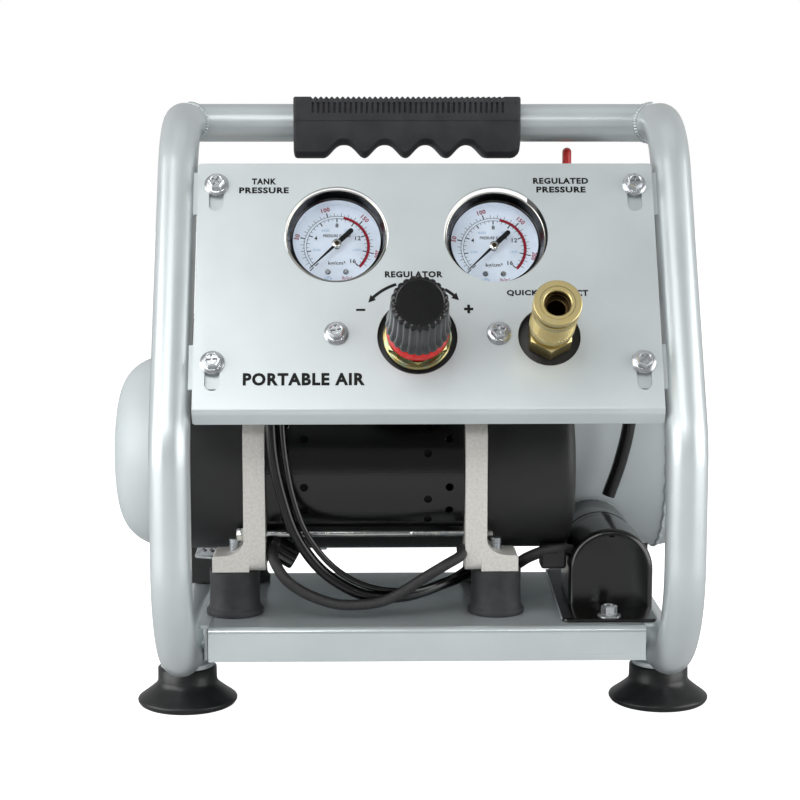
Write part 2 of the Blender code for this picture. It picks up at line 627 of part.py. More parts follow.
def motor():
    """Shell, stator and rotor between the two end plates."""
    left = END_PLATE_X[0] + END_PLATE_THICKNESS / 2 + GAP
    right = END_PLATE_X[1] - END_PLATE_THICKNESS / 2 - GAP
    axis = (0, PUMP_Y, PUMP_Z)
    shell = [(SHELL_RADIUS - 0.0015, right), (SHELL_RADIUS, right), (SHELL_RADIUS, left),
             (SHELL_RADIUS - 0.0015, left)]
    turned("motor_shell", shell, BLACK, axis, ALONG_X, 28, closed=True)
    core = SHELL_RADIUS - 0.0015 - GAP
    stator = [(0.0290, 0.004), (core, 0.004), (core, -0.072), (0.0290, -0.072)]
    turned("motor_stator", stator, STEEL, axis, ALONG_X, 24, closed=True)
    left_end = END_PLATE_X[0] - END_PLATE_THICKNESS / 2 - COVER_LENGTH + 0.004
    right_end = END_PLATE_X[1] + END_PLATE_THICKNESS / 2 + COVER_LENGTH - 0.004
    shaft = [(0, right_end), (0.005, right_end), (0.005, 0.001), (0.0283, 0.001),
             (0.0283, -0.069), (0.005, -0.069), (0.005, left_end), (0, left_end)]
    made = turned("motor_rotor", shaft, STEEL, axis, ALONG_X, 20)
    for index, side in enumerate((-1, 1)):
        crank_x = END_PLATE_X[index] + side * CRANK_OFFSET
        crank = cylinder(f"crank_{index}", 0.009, 0.008,
                         (crank_x, PUMP_Y - STROKE / 2, PUMP_Z), None, ALONG_X, 16, CUTTERS)
        fan_x = END_PLATE_X[index] + side * (END_PLATE_THICKNESS / 2 + COVER_LENGTH - 0.018)
        fan = cylinder(f"fan_{index}", 0.016, 0.008, (fan_x, PUMP_Y, PUMP_Z), None, ALONG_X, 12,
                       CUTTERS)
        join(made, crank)
        join(made, fan)
        for blade_index in range(FAN_BLADES):
            angle = 2 * math.pi * blade_index / FAN_BLADES
            spot = (fan_x, PUMP_Y + 0.026 * math.cos(angle), PUMP_Z + 0.026 * math.sin(angle))
            blade = box(f"blade_{index}_{blade_index}", (0.007, 0.030, 0.0016), spot, None,
                        (angle, 0, 0), CUTTERS)
            join(made, blade)


def end_plate(name, index, side):
    """A cast end plate, with its ears over the rubber mounts."""
    middle = END_PLATE_X[index]
    half = END_PLATE_THICKNESS / 2
    foot_low = PLATE_TOP_Z + GAP + MOUNT_HEIGHT + GAP
    made = span_box(name, (middle - half, -0.100, foot_low), (middle + half, -0.006, 0.189),
                    CASTING)
    ear_x = sorted((middle + side * (half - 0.003), middle + side * 0.0234))
    for number, y in enumerate(MOUNT_Y):
        ear = span_box(f"{name}_ear_{number}", (ear_x[0], y - 0.0130, foot_low),
                       (ear_x[1], y + 0.0130, foot_low + 0.0090), collection=CUTTERS)
        join(made, ear)
    for number, y in enumerate(MOUNT_Y):
        hole = cylinder(f"{name}_stud_hole_{number}", 0.0036, 0.03,
                        (middle + side * MOUNT_OFFSET, y, foot_low), None, UPRIGHT, 12, CUTTERS)
        cut(made, hole)
    bore = cylinder(f"{name}_bore", 0.0056, 0.03, (middle, PUMP_Y, PUMP_Z), None, ALONG_X, 16,
                    CUTTERS)
    cut(made, bore)
    rod_hole = cylinder(f"{name}_rod_hole", 0.0026, 0.03, (middle, -0.0945, 0.1065), None,
                        ALONG_X, 12, CUTTERS)
    cut(made, rod_hole)


def fan_cover(name, index, side):
    """A round fan cover over the crank, open to the end plate and vented at its end."""
    start = END_PLATE_THICKNESS / 2 + 2 * GAP
    end = start + COVER_LENGTH
    profile = [(0.018, end), (COVER_RADIUS - 0.005, end), (COVER_RADIUS - 0.0015, end - 0.0015),
               (COVER_RADIUS, end - 0.005), (COVER_RADIUS, start), (COVER_RADIUS - 0.002, start),
               (COVER_RADIUS - 0.002, end - 0.005), (COVER_RADIUS - 0.005, end - 0.002),
               (0.018, end - 0.002)]
    turn = (0, side * math.pi / 2, 0)
    made = turned(name, profile, PLASTIC, (END_PLATE_X[index], PUMP_Y, PUMP_Z), turn, 20,
                  closed=True)
    hole = cylinder(f"{name}_rod_hole", 0.0120, 0.02,
                    (END_PLATE_X[index] + side * CRANK_OFFSET, PUMP_Y, PUMP_Z + COVER_RADIUS),
                    None, UPRIGHT, 16, CUTTERS)
    cut(made, hole)


def cylinder_head(name, index, side):
    """An upright cylinder closed by its head, open below."""
    top = 0.225
    low = PUMP_Z + COVER_RADIUS + 2 * GAP
    profile = [(0, top), (0.0215, top), (0.0235, top - 0.002), (0.0235, low), (0.0192, low),
               (0.0192, 0.2140), (0, 0.2140)]
    turned(name, profile, CASTING, (END_PLATE_X[index] + side * CRANK_OFFSET, PUMP_Y, 0))


def piston(name, index, side):
    """A wobble piston: disc, rod and the open big end around the crank."""
    place = Vector((END_PLATE_X[index] + side * CRANK_OFFSET, PUMP_Y, 0))
    disc = [(0, 0.2060), (0.0187, 0.2060), (0.0187, 0.2000), (0, 0.2000)]
    made = turned(name, disc, CASTING, place, UPRIGHT, 20)
    rod = box(f"{name}_rod", (0.007, 0.009, 0.040), place + Vector((0, 0, 0.183)),
              collection=CUTTERS)
    ring = [(0.0220, 0.004), (0.0262, 0.004), (0.0262, -0.004), (0.0220, -0.004)]
    big_end = turned(f"{name}_big_end", ring, None, place + Vector((0, 0, PUMP_Z)), ALONG_X, 20,
                     closed=True, collection=CUTTERS)
    join(made, rod)
    join(made, big_end)


def tie_rod():
    """The long front tie rod, with its head outside the left end plate."""
    left = END_PLATE_X[0] - END_PLATE_THICKNESS / 2
    right = END_PLATE_X[1] + END_PLATE_THICKNESS / 2
    profile = [(0, right + 0.004), (0.0020, right + 0.004), (0.0020, left - GAP),
               (0.0042, left - GAP), (0.0042, left - 0.0045), (0, left - 0.0045)]
    turned("tie_rod", profile, ZINC, (0, -0.0945, 0.1065), ALONG_X, 10)


def rubber_mount(name, index, side, y):
    """A rubber mount with its stud."""
    stud = MOUNT_HEIGHT + 0.0150
    profile = [(0, stud), (0.0030, stud), (0.0030, MOUNT_HEIGHT), (0.0141, MOUNT_HEIGHT),
               (0.0146, 0.004), (0.0160, 0.002), (0.0160, 0), (0, 0)]
    place = (END_PLATE_X[index] + side * MOUNT_OFFSET, y, PLATE_TOP_Z + GAP)
    turned(name, profile, RUBBER, place, UPRIGHT, 16)


# ---------------------------------------------------------------- electrics and plumbing

def arch(half_width, top, low, steps):
    """An arch outline about x = 0: a half round on straight legs."""
    points = [(half_width, low)]
    for i in range(steps + 1):
        angle = math.pi * i / steps
        points.append((half_width * math.cos(angle), top - half_width
                       + half_width * math.sin(angle)))
    points.append((-half_width, low))
    return points


def capacitor():
    """The start capacitor lying on the tray, and the cover over its terminals."""
    profile = [(0, 0.0450), (CAPACITOR_RADIUS - 0.001, 0.0450), (CAPACITOR_RADIUS, 0.0440),
               (CAPACITOR_RADIUS, -0.0440), (CAPACITOR_RADIUS - 0.001, -0.0450), (0, -0.0450)]
    turned("capacitor", profile, PLASTIC, (CAPACITOR_X, -0.0420, CAPACITOR_Z), ALONG_Y, 20)
    low = PLATE_TOP_Z + GAP
    outer_half = 0.0238
    inner_half = 0.0223
    top = CAPACITOR_Z + outer_half
    turn = (math.pi / 2, 0, 0)
    made = prism("capacitor_cover", arch(outer_half, top, low, 12), 0.0420, PLASTIC,
                 (CAPACITOR_X, -0.0725, 0), turn)
    room = prism("capacitor_room", arch(inner_half, CAPACITOR_Z + inner_half, low - 0.01, 12),
                 0.0420, None, (CAPACITOR_X, -0.0705, 0), turn, CUTTERS)
    cut(made, room)
    flange = span_box("cover_flange", (0.0690, -0.1215, low), (0.1280, -0.0920, low + 0.0015),
                      collection=CUTTERS)
    join(made, flange)


def hoses():
    """Discharge tube, relief hose and motor cord."""
    head_x = END_PLATE_X[0] - CRANK_OFFSET
    tube = rounded_path([(head_x, PUMP_Y + 0.0238, 0.2175), (head_x, TANK_Y, 0.2175),
                         (-0.060, TANK_Y, 0.2175), (-0.060, TANK_Y, 0.1893)], 0.014, 4)
    pipe("discharge_tube", tube, 0.0035, COPPER, 2)
    hose = rounded_path([(0.1010, -0.0050, 0.2370), (0.1010, -0.0090, 0.2180),
                         (0.1270, -0.0120, 0.1900), (0.1265, -0.0120, 0.1560),
                         (0.1130, -0.0120, 0.1120)], 0.016, 4)
    pipe("relief_hose", hose, 0.0040, RUBBER, 2)
    cord = rounded_path([(-0.0830, -0.1080, 0.1900), (-0.0770, -0.1080, 0.1390),
                         (-0.0560, -0.1080, 0.0760), (-0.0100, -0.1080, 0.0700),
                         (0.0120, -0.0850, 0.0800), (0.0300, -0.0680, 0.0790),
                         (0.0600, -0.0740, 0.0820), (0.0770, -0.0840, 0.0880)], 0.012, 4)
    pipe("motor_cord", cord, 0.0032, RUBBER, 2)


# ---------------------------------------------------------------- assembly

hoop(-1, "left_hoop")
hoop(1, "right_hoop")
handle_bar()
handle_grip()
base_plate()
for foot_side, side_name in ((-1, "left"), (1, "right")):
    foot(f"front_{side_name}_foot", foot_side, FOOT_Y[0])
    foot(f"rear_{side_name}_foot", foot_side, FOOT_Y[1])
control_panel()
for screw_side, side_name in ((-1, "left"), (1, "right")):
    panel_screw(f"lower_{side_name}_screw", screw_side * CORNER_SCREW_X, CORNER_SCREW_S[0])
    panel_screw(f"upper_{side_name}_screw", screw_side * CORNER_SCREW_X, CORNER_SCREW_S[1])
panel_screw("middle_left_screw", GAUGE_X[0], MIDDLE_SCREW_S)
panel_screw("middle_right_screw", GAUGE_X[1], MIDDLE_SCREW_S)
gauge("tank_gauge", GAUGE_X[0], 0.0015)
gauge("outlet_gauge", GAUGE_X[1], 0.0045)
regulator()
coupler()
air_manifold()
pressure_switch()
tank()
drain_valve()
motor()
for plate_index, (plate_side, side_name) in enumerate(((-1, "left"), (1, "right"))):
    end_plate(f"{side_name}_end_plate", plate_index, plate_side)
    fan_cover(f"{side_name}_fan_cover", plate_index, plate_side)
    cylinder_head(f"{side_name}_cylinder", plate_index, plate_side)
    piston(f"{side_name}_piston", plate_index, plate_side)
    rubber_mount(f"front_{side_name}_mount", plate_index, plate_side, MOUNT_Y[0])
    rubber_mount(f"rear_{side_name}_mount", plate_index, plate_side, MOUNT_Y[1])
tie_rod()
capacitor()
hoses()
for piece in list(PARTS.objects) + list(CUTTERS.objects):
    piece.location -= MIDDLE
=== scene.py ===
"""Looks of the hotdog air compressor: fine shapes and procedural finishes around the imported
frame.  Metres, +Z up.  Places are measured from the floor point midway between the hoops."""

import json
import math
from math import cos, pi, radians, sin

import bmesh
import bpy
from mathutils import Matrix, Vector


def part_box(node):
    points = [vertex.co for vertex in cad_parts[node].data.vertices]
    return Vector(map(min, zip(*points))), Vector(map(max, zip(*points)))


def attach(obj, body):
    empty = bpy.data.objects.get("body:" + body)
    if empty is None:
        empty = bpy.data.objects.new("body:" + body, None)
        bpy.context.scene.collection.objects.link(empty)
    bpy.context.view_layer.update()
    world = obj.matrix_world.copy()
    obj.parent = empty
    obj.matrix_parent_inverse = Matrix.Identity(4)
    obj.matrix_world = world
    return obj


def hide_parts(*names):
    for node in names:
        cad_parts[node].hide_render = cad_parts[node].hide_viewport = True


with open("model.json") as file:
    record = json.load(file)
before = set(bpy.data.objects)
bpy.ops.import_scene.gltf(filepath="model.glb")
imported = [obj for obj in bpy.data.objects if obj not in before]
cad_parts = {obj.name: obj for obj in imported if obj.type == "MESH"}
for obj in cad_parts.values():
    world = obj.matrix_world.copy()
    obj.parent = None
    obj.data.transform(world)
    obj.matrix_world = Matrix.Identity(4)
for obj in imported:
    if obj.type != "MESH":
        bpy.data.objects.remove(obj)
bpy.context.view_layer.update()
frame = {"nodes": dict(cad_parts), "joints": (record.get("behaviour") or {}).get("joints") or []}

# ---------------------------------------------------------------- places, from the frame

JOINTS = {joint["name"]: joint for joint in frame["joints"]}
LEFT_LOW, LEFT_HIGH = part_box("left_hoop")
HOME = Vector(((LEFT_LOW.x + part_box("right_hoop")[1].x) / 2, (LEFT_LOW.y + LEFT_HIGH.y) / 2, 0))


def box(node):
    """Lowest and highest corner of a CAD node, from HOME."""
    low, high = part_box(node)
    return low - HOME, high - HOME


def middle(node):
    low, high = box(node)
    return (low + high) / 2


def joint_place(name):
    return Vector(JOINTS[name]["pos_m"]) - HOME


TUBE = (box("handle_bar")[1].z - box("handle_bar")[0].z) / 2
HOOP_X = middle("front_right_foot").x
TOP_Z = middle("handle_bar").z
FRONT_Y = box("left_hoop")[0].y + TUBE
REAR_Y = box("left_hoop")[1].y - TUBE
LOW_Z = 0.0345
KINK_Z = 0.1647
REAR_Z = 0.205
BEND_RADIUS = 0.05
FOOT_BEND = 0.065               # the two lower bends, just beyond the feet

OUT = Vector(JOINTS["regulator_turn"]["axis"]).normalized()
ACROSS = Vector((1, 0, 0))
UP = OUT.cross(ACROSS)
LEAN = math.asin(OUT.z)
CONTROL_S = 0.0583              # regulator and coupler, up the slope of the panel
GAUGE_S = 0.1183
REGULATOR_X = joint_place("regulator_turn").x
COUPLER_X = middle("coupler_sleeve").x
GAUGE_X = (joint_place("tank_gauge_sweep").x, joint_place("outlet_gauge_sweep").x)
GAUGE_RECESS = (0.0015, 0.0045)
SCREW_X = 0.115
SCREW_S = (0.0434, 0.1478)
MIDDLE_SCREW_S = 0.06
PRINT_LIFT = 0.00006            # how far the panel's print stands off its paint
PANEL_ORIGIN = joint_place("regulator_turn") - ACROSS * REGULATOR_X - UP * CONTROL_S - OUT * 0.03
PANEL = Matrix.Translation(PANEL_ORIGIN) @ Matrix((ACROSS, UP, OUT)).transposed().to_4x4()

TANK_Y = joint_place("drain_key_turn").y
TANK_Z = 0.1275
TANK_RADIUS = 0.0615
DOME_DEPTH = 0.031
PUMP_Y = joint_place("motor_spin").y
PUMP_Z = joint_place("motor_spin").z
SHELL_RADIUS = 0.0495
COVER_RADIUS = 0.049
PLATE_TOP = box("base_plate")[1].z

FLAT = Matrix.Identity(4)
ALONG_X = Matrix.Rotation(pi / 2, 4, "Y")      # local Z points along +X
ALONG_Y = Matrix.Rotation(-pi / 2, 4, "X")     # local Z points along +Y
FACING = Matrix.Rotation(pi / 2, 4, "X")       # local Z points along -Y, local Y up
SIDEWAYS = Matrix(((0, 0, 1, 0), (1, 0, 0, 0), (0, 1, 0, 0), (0, 0, 0, 1)))    # local X, Y are Y, Z


def at(x, y, z, turn=FLAT):
    return Matrix.Translation((x, y, z)) @ turn


def on_panel(x, slope, height=0.0, turn=0.0):
    """Across, up the slope and out of the face; turned about the outward normal."""
    return PANEL @ at(x, slope, height) @ Matrix.Rotation(turn, 4, "Z")


# ---------------------------------------------------------------- finishes

def shade(*levels):
    """A display colour from 0 to 255 as a linear colour."""
    return tuple((level / 255) ** 2.2 for level in levels)


def new_material(name):
    """A material, its nodes and the call that links them."""
    made = bpy.data.materials.new(name)
    made.use_nodes = True
    return made, made.node_tree.nodes, made.node_tree.links.new


def add_node(nodes, kind, **settings):
    """A shader node with its inputs set; an underscore in a setting stands for a space."""
    made = nodes.new("ShaderNode" + kind)
    for key, value in settings.items():
        made.inputs[key.replace("_", " ")].default_value = value
    return made


def finish(name, colour, rough, metal=0.0, second=None, mottle=60.0, grain=3000.0, bump=0.08,
        depth=0.0002, coat=0.0, stretch=(1, 1, 1), spread=0.08, glow=0.0):
    """A name and its material: colour and roughness drift in patches, over a fine relief."""
    made, nodes, link = new_material(name)
    shader = nodes["Principled BSDF"]
    place = add_node(nodes, "TexCoord")
    mapping = add_node(nodes, "Mapping", Scale=stretch)
    link(place.outputs["Object"], mapping.inputs["Vector"])

    def noise(scale, detail):
        cloud = add_node(nodes, "TexNoise", Scale=scale, Detail=detail)
        link(mapping.outputs["Vector"], cloud.inputs["Vector"])
        return cloud.outputs["Fac"]

    patches = noise(mottle, 4.0)
    grains = noise(grain, 2.0)
    ramp = add_node(nodes, "ValToRGB")
    first = tuple(level * (1 - spread) for level in colour)
    second = second or tuple(min(1.0, level * (1 + spread)) for level in colour)
    ramp.color_ramp.elements[0].position = 0.35
    ramp.color_ramp.elements[1].position = 0.65
    ramp.color_ramp.elements[0].color = (*first, 1)
    ramp.color_ramp.elements[1].color = (*second, 1)
    link(patches, ramp.inputs["Fac"])
    link(ramp.outputs["Color"], shader.inputs["Base Color"])
    # glow makes a surface give off its own colour: painted light on a part that is no lamp
    if glow:
        link(ramp.outputs["Color"], shader.inputs["Emission Color"])
        shader.inputs["Emission Strength"].default_value = glow
    level = add_node(nodes, "MapRange", To_Min=rough * 0.85, To_Max=min(1.0, rough * 1.15))
    link(patches, level.inputs["Value"])
    link(level.outputs["Result"], shader.inputs["Roughness"])
    relief = add_node(nodes, "Bump", Strength=bump, Distance=depth)
    link(grains, relief.inputs["Height"])
    link(relief.outputs["Normal"], shader.inputs["Normal"])
    shader.inputs["Metallic"].default_value = metal
    shader.inputs["Coat Weight"].default_value = coat
    shader.inputs["Coat Roughness"].default_value = 0.2
    return name, made


def lens_finish():
    """A clear pane: see-through, with a faint mirror that grows towards its edges."""
    made, nodes, link = new_material("clear_lens")
    nodes.clear()
    clear = add_node(nodes, "BsdfTransparent", Color=(0.97, 0.985, 1.0, 1))
    mirror = add_node(nodes, "BsdfGlossy", Roughness=0.03)
    edge = add_node(nodes, "Fresnel", IOR=1.22)
    mix = add_node(nodes, "MixShader")
    out = add_node(nodes, "OutputMaterial")
    link(edge.outputs["Fac"], mix.inputs["Fac"])
    link(clear.outputs["BSDF"], mix.inputs[1])
    link(mirror.outputs["BSDF"], mix.inputs[2])
    link(mix.outputs["Shader"], out.inputs["Surface"])
    return "clear_lens", made


FINISHES = dict((
    finish("silver_paint", shade(196, 204, 206), 0.36, 0.45, mottle=25, grain=1600,
          bump=0.05, depth=0.0003, coat=0.8, spread=0.03),
    finish("tray_paint", shade(204, 212, 214), 0.2, 0.55, mottle=25, grain=1600,
          bump=0.05, depth=0.0003, coat=0.4, spread=0.03),
    finish("tank_paint", shade(190, 198, 200), 0.55, 0.1, mottle=25, grain=1600,
          bump=0.05, depth=0.0003, coat=0.2, spread=0.03),
    finish("black_rubber", shade(38, 39, 41), 0.6, second=shade(48, 49, 51),
          mottle=180, grain=2600, bump=0.35),
    # black braid flecked with pale specks: painted sheen along the fibres
    finish("braid_and_painted_sheen", shade(11, 11, 12), 0.36, second=shade(52, 51, 52),
          mottle=2200, grain=2600, bump=0.9, depth=0.0004),
    finish("hose_black", shade(11, 11, 12), 0.24, second=shade(17, 17, 18),
          mottle=120, grain=1200, bump=0.06),
    # near black: painted shade, put on the stator so the motor shell's holes look dark inside
    finish("painted_shade_black", shade(6, 6, 6), 0.9, second=shade(10, 10, 10),
          mottle=100, bump=0.05),
    finish("foot_rubber", shade(26, 27, 28), 0.36, second=shade(34, 35, 36),
          mottle=150, grain=2200, bump=0.12),
    finish("grip_rubber", shade(38, 39, 42), 0.5, second=shade(46, 47, 50),
          mottle=90, grain=4200, bump=0.3),
    finish("zinc", shade(186, 190, 194), 0.17, 1.0, second=shade(206, 206, 200),
          mottle=300, grain=2500, bump=0.06),
    finish("bright_zinc", shade(196, 200, 203), 0.24, 0.85, mottle=300, grain=2500,
          bump=0.05),
    finish("galvanised", shade(168, 178, 178), 0.42, 0.9, second=shade(205, 212, 210),
          mottle=420, grain=2500, bump=0.1),
    # chrome with its colour darkened: a painted dark reflection on the gauge bezels' sloping walls
    finish("chrome_painted_dark", shade(62, 62, 64), 0.12, 1.0, mottle=150, bump=0.02,
          spread=0.3),
    finish("rim_chrome", shade(206, 204, 196), 0.25, 1.0, mottle=150, bump=0.02),
    # the dial white glows a little: painted light that brightens the dials in the shade of their deep
    # cases
    finish("dial_white", shade(206, 212, 220), 0.6, second=shade(216, 222, 230),
          mottle=40, bump=0.02, glow=0.28),
    lens_finish(),
    finish("ink_black", shade(7, 7, 8), 0.85, mottle=900, bump=0.05),
    finish("ink_red", shade(160, 16, 44), 0.85, mottle=900, bump=0.05),
    finish("ink_blue", shade(150, 188, 214), 0.5, mottle=900, bump=0.05),
    finish("satin_black", shade(33, 33, 34), 0.42, second=shade(42, 42, 43),
          mottle=70, grain=2400, bump=0.12),
    finish("cover_black", shade(32, 32, 33), 0.48, second=shade(38, 38, 39),
          mottle=30, grain=1500, bump=0.15),
    finish("gloss_black", shade(14, 14, 13), 0.2, coat=0.25, mottle=50, grain=900,
          bump=0.04, depth=0.0004),
    finish("knob_plastic", shade(13, 14, 16), 0.17, mottle=200, grain=1800,
          bump=0.05),
    finish("yellow_zinc", shade(176, 158, 100), 0.24, 1.0,
          second=shade(150, 164, 140), mottle=220, bump=0.06),
    finish("red_plastic", shade(214, 48, 42), 0.26, second=shade(186, 26, 26),
          mottle=300, bump=0.05),
    finish("steel", shade(150, 150, 150), 0.4, 1.0, mottle=200, bump=0.1),
    finish("dark_steel", shade(52, 52, 53), 0.5, 0.6, mottle=200, bump=0.1),
    finish("brass", shade(216, 200, 146), 0.36, 1.0, second=shade(204, 186, 128),
          mottle=260, grain=2200, bump=0.1, stretch=(1, 1, 0.3)),
    # dark brass: the needle pins' own colour, and painted shade down the coupler's bore
    finish("dark_brass_and_painted_shade", shade(84, 68, 42), 0.4, 0.9, second=shade(50, 38, 24),
          mottle=900, bump=0.2),
    finish("cast_aluminium", shade(208, 206, 200), 0.5, 0.3,
          second=shade(214, 212, 207), mottle=700, grain=1700, bump=0.4,
          depth=0.0004),
    finish("copper", shade(205, 128, 92), 0.28, 1.0, second=shade(180, 100, 66),
          mottle=120, bump=0.06),
))

# ---------------------------------------------------------------- mesh tools


def new_object(name, data, place=FLAT):
    made = bpy.data.objects.new(name, data)
    bpy.context.scene.collection.objects.link(made)
    made.matrix_world = place
    return made


def from_bmesh(name, shape, place=FLAT):
    bmesh.ops.recalc_face_normals(shape, faces=shape.faces)
    mesh = bpy.data.meshes.new(name)
    shape.to_mesh(mesh)
    shape.free()
    return new_object(name, mesh, place)


def loft(name, rings, place=FLAT, loop=False):
    """A closed skin over rings of matching points, capped at its ends unless it loops."""
    shape = bmesh.new()
    rows = [[shape.verts.new(point) for point in ring] for ring in rings]
    pairs = list(zip(rows, rows[1:]))
    if loop:
        pairs.append((rows[-1], rows[0]))
    for low, high in pairs:
        for i, corner in enumerate(low):
            j = (i + 1) % len(low)
            shape.faces.new((corner, low[j], high[j], high[i]))
    if not loop:
        shape.faces.new(rows[0][::-1])
        shape.faces.new(rows[-1])
    return from_bmesh(name, shape, place)


def around(steps):
    """The angles of a full turn in equal steps."""
    return [2 * pi * i / steps for i in range(steps)]


def lathe(name, profile, place=FLAT, sides=64, loop=False, shape_radius=None, start=0.0):
    """A turned piece from (radius, height) points; shape_radius may flute or knurl it."""
    rings = []
    for radius, height in profile:
        ring = []
        for turn in around(sides):
            angle = start + turn
            reach = shape_radius(angle, radius, height) if shape_radius else radius
            ring.append((reach * cos(angle), reach * sin(angle), height))
        rings.append(ring)
    return loft(name, rings, place, loop)


def hexagon(name, profile, place):
    return lathe(name, profile, place, 6, start=pi / 6)


def sweep(name, path, radius, sides=24, loop=False):
    """A round bar along a path; radius may be a function of the share along it."""
    path = [Vector(point) for point in path]
    count = len(path)
    side = None
    rings = []
    for i, point in enumerate(path):
        before = path[i - 1] if i or loop else point
        after = path[(i + 1) % count] if i + 1 < count or loop else point
        along = (after - before).normalized()
        if side is None:
            side = along.orthogonal().normalized()
        side = (side - along * side.dot(along)).normalized()
        other = along.cross(side)
        size = radius(i / count) if callable(radius) else radius
        rings.append([point + (side * cos(t) + other * sin(t)) * size for t in around(sides)])
    return loft(name, rings, FLAT, loop)


def rounded_path(corners, radius, steps=8, closed=False):
    """A polyline whose corners become arcs; radius may list one value for each inner corner."""
    corners = [Vector(corner) for corner in corners]
    radii = radius if isinstance(radius, (list, tuple)) else [radius] * len(corners)
    if closed:
        corners = [corners[-1], *corners, corners[0]]
    path = [] if closed else [corners[0]]
    for before, corner, after, radius in zip(corners, corners[1:], corners[2:], radii):
        inward = (before - corner).normalized()
        outward = (after - corner).normalized()
        turn = pi - inward.angle(outward)
        if turn < 0.01:
            path.append(corner)
            continue
        reach = radius * math.tan(turn / 2)
        centre = corner + (inward + outward).normalized() * math.hypot(reach, radius)
        start = corner + inward * reach - centre
        end = corner + outward * reach - centre
        for i in range(steps + 1):
            share = i / steps
            first = start * sin((1 - share) * turn) / sin(turn)
            last = end * sin(share * turn) / sin(turn)
            path.append(centre + first + last)
    if not closed:
        path.append(corners[-1])
    return path


def smooth_path(points, steps=6):
    """A Catmull-Rom curve through the points."""
    points = [Vector(point) for point in points]
    points = [points[0] * 2 - points[1], *points, points[-1] * 2 - points[-2]]
    path = []
    for a, b, c, d in zip(points, points[1:], points[2:], points[3:]):
        for i in range(steps):
            t = i / steps
            path.append(0.5 * (2 * b + (c - a) * t + (2 * a - 5 * b + 4 * c - d) * t * t
                + (3 * b - a - 3 * c + d) * t ** 3))
    path.append(points[-2])
    return path


def circle(x, y, radius, sides=96):
    return [(x + radius * cos(t), y + radius * sin(t)) for t in around(sides)]


def solid(made):
    """The finished mesh of an object, with its modifiers or curve settled."""
    graph = bpy.context.evaluated_depsgraph_get()
    mesh = bpy.data.meshes.new_from_object(made.evaluated_get(graph))
    shape = bmesh.new()
    shape.from_mesh(mesh)
    bmesh.ops.remove_doubles(shape, verts=shape.verts, dist=0.000004)
    shape.to_mesh(mesh)
    shape.free()
    name = made.name
    place = made.matrix_world.copy()
    bpy.data.objects.remove(made, do_unlink=True)
    return new_object(name, mesh, place)


def flat(name, outlines, thickness, place=FLAT):
    """A sheet cut to flat outlines: the first is its rim, the others are holes."""
    data = bpy.data.curves.new(name, "CURVE")
    data.dimensions = "2D"
    data.fill_mode = "BOTH"
    data.extrude = thickness / 2
    for outline in outlines:
        line = data.splines.new("POLY")
        line.points.add(len(outline) - 1)
        for target, point in zip(line.points, outline):
            target.co = (point[0], point[1], 0.0, 1.0)
        line.use_cyclic_u = True
    made = new_object(name, data, place)
    bpy.context.view_layer.update()
    return solid(made)


def block(name, low, high, place=FLAT):
    """A box between two corners."""
    low = Vector(low)
    high = Vector(high)
    shape = bmesh.new()
    size = Matrix.Diagonal((*(high - low), 1.0))
    bmesh.ops.create_cube(shape, size=1.0, matrix=Matrix.Translation((low + high) / 2) @ size)
    return from_bmesh(name, shape, place)


def ease(made, width, segments=2, angle=40):
    """Rounded edges."""
    bevel = made.modifiers.new("ease", "BEVEL")
    bevel.width = width
    bevel.segments = segments
    bevel.limit_method = "ANGLE"
    bevel.angle_limit = radians(angle)
    bevel.use_clamp_overlap = True
    return made


def join(name, parts):
    """One mesh object out of several, in the axes of HOME."""
    shape = bmesh.new()
    for part in parts:
        if part.type != "MESH" or part.modifiers:
            part = solid(part)
        part.data.transform(part.matrix_world)
        shape.from_mesh(part.data)
        bpy.data.objects.remove(part, do_unlink=True)
    mesh = bpy.data.meshes.new(name)
    shape.to_mesh(mesh)
    shape.free()
    return new_object(name, mesh)


def cut(made, cutters, operation="DIFFERENCE"):
    """One exact Boolean with the joined cutters, settled at once."""
    tool = join("cutter", cutters)
    change = made.modifiers.new("cut", "BOOLEAN")
    change.operation = operation
    change.solver = "EXACT"
    change.object = tool
    bpy.context.view_layer.update()
    made = solid(made)
    bpy.data.objects.remove(tool, do_unlink=True)
    return made


def words(name, text, width, height, place, bold=0.02):
    """Printed letters, fitted to a width and a capital height, centred on their place."""
    data = bpy.data.curves.new(name, "FONT")
    data.body = text
    data.align_x = "CENTER"
    data.align_y = "CENTER"
    data.offset = bold
    data.space_character = 1.0 + 3 * bold
    data.extrude = 0.02
    data.resolution_u = 3
    made = new_object(name, data)
    bpy.context.view_layer.update()
    made = solid(made)
    size = made.dimensions
    spots = [vertex.co for vertex in made.data.vertices]
    low = Vector([min(spot[k] for spot in spots) for k in range(3)])
    made.data.transform(Matrix.Translation(-low - size / 2))
    made.data.transform(Matrix.Diagonal((width / size.x, height / size.y, 0.00005 / size.z, 1)))
    made.matrix_world = place
    return made


def piece(made, look, *nodes, body="frame", smooth=35):
    """Dress a finished object, put it in the frame and let it ride on its body."""
    made.data.materials.clear()
    made.data.materials.append(FINISHES[look])
    made.data.shade_smooth()
    made.data.set_sharp_from_angle(angle=radians(smooth))
    made.data.transform(made.matrix_world)
    made.matrix_world = Matrix.Translation(HOME)
    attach(made, body)
    if nodes:
        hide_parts(*nodes)
    return made


# ---------------------------------------------------------------- frame, feet and base plate

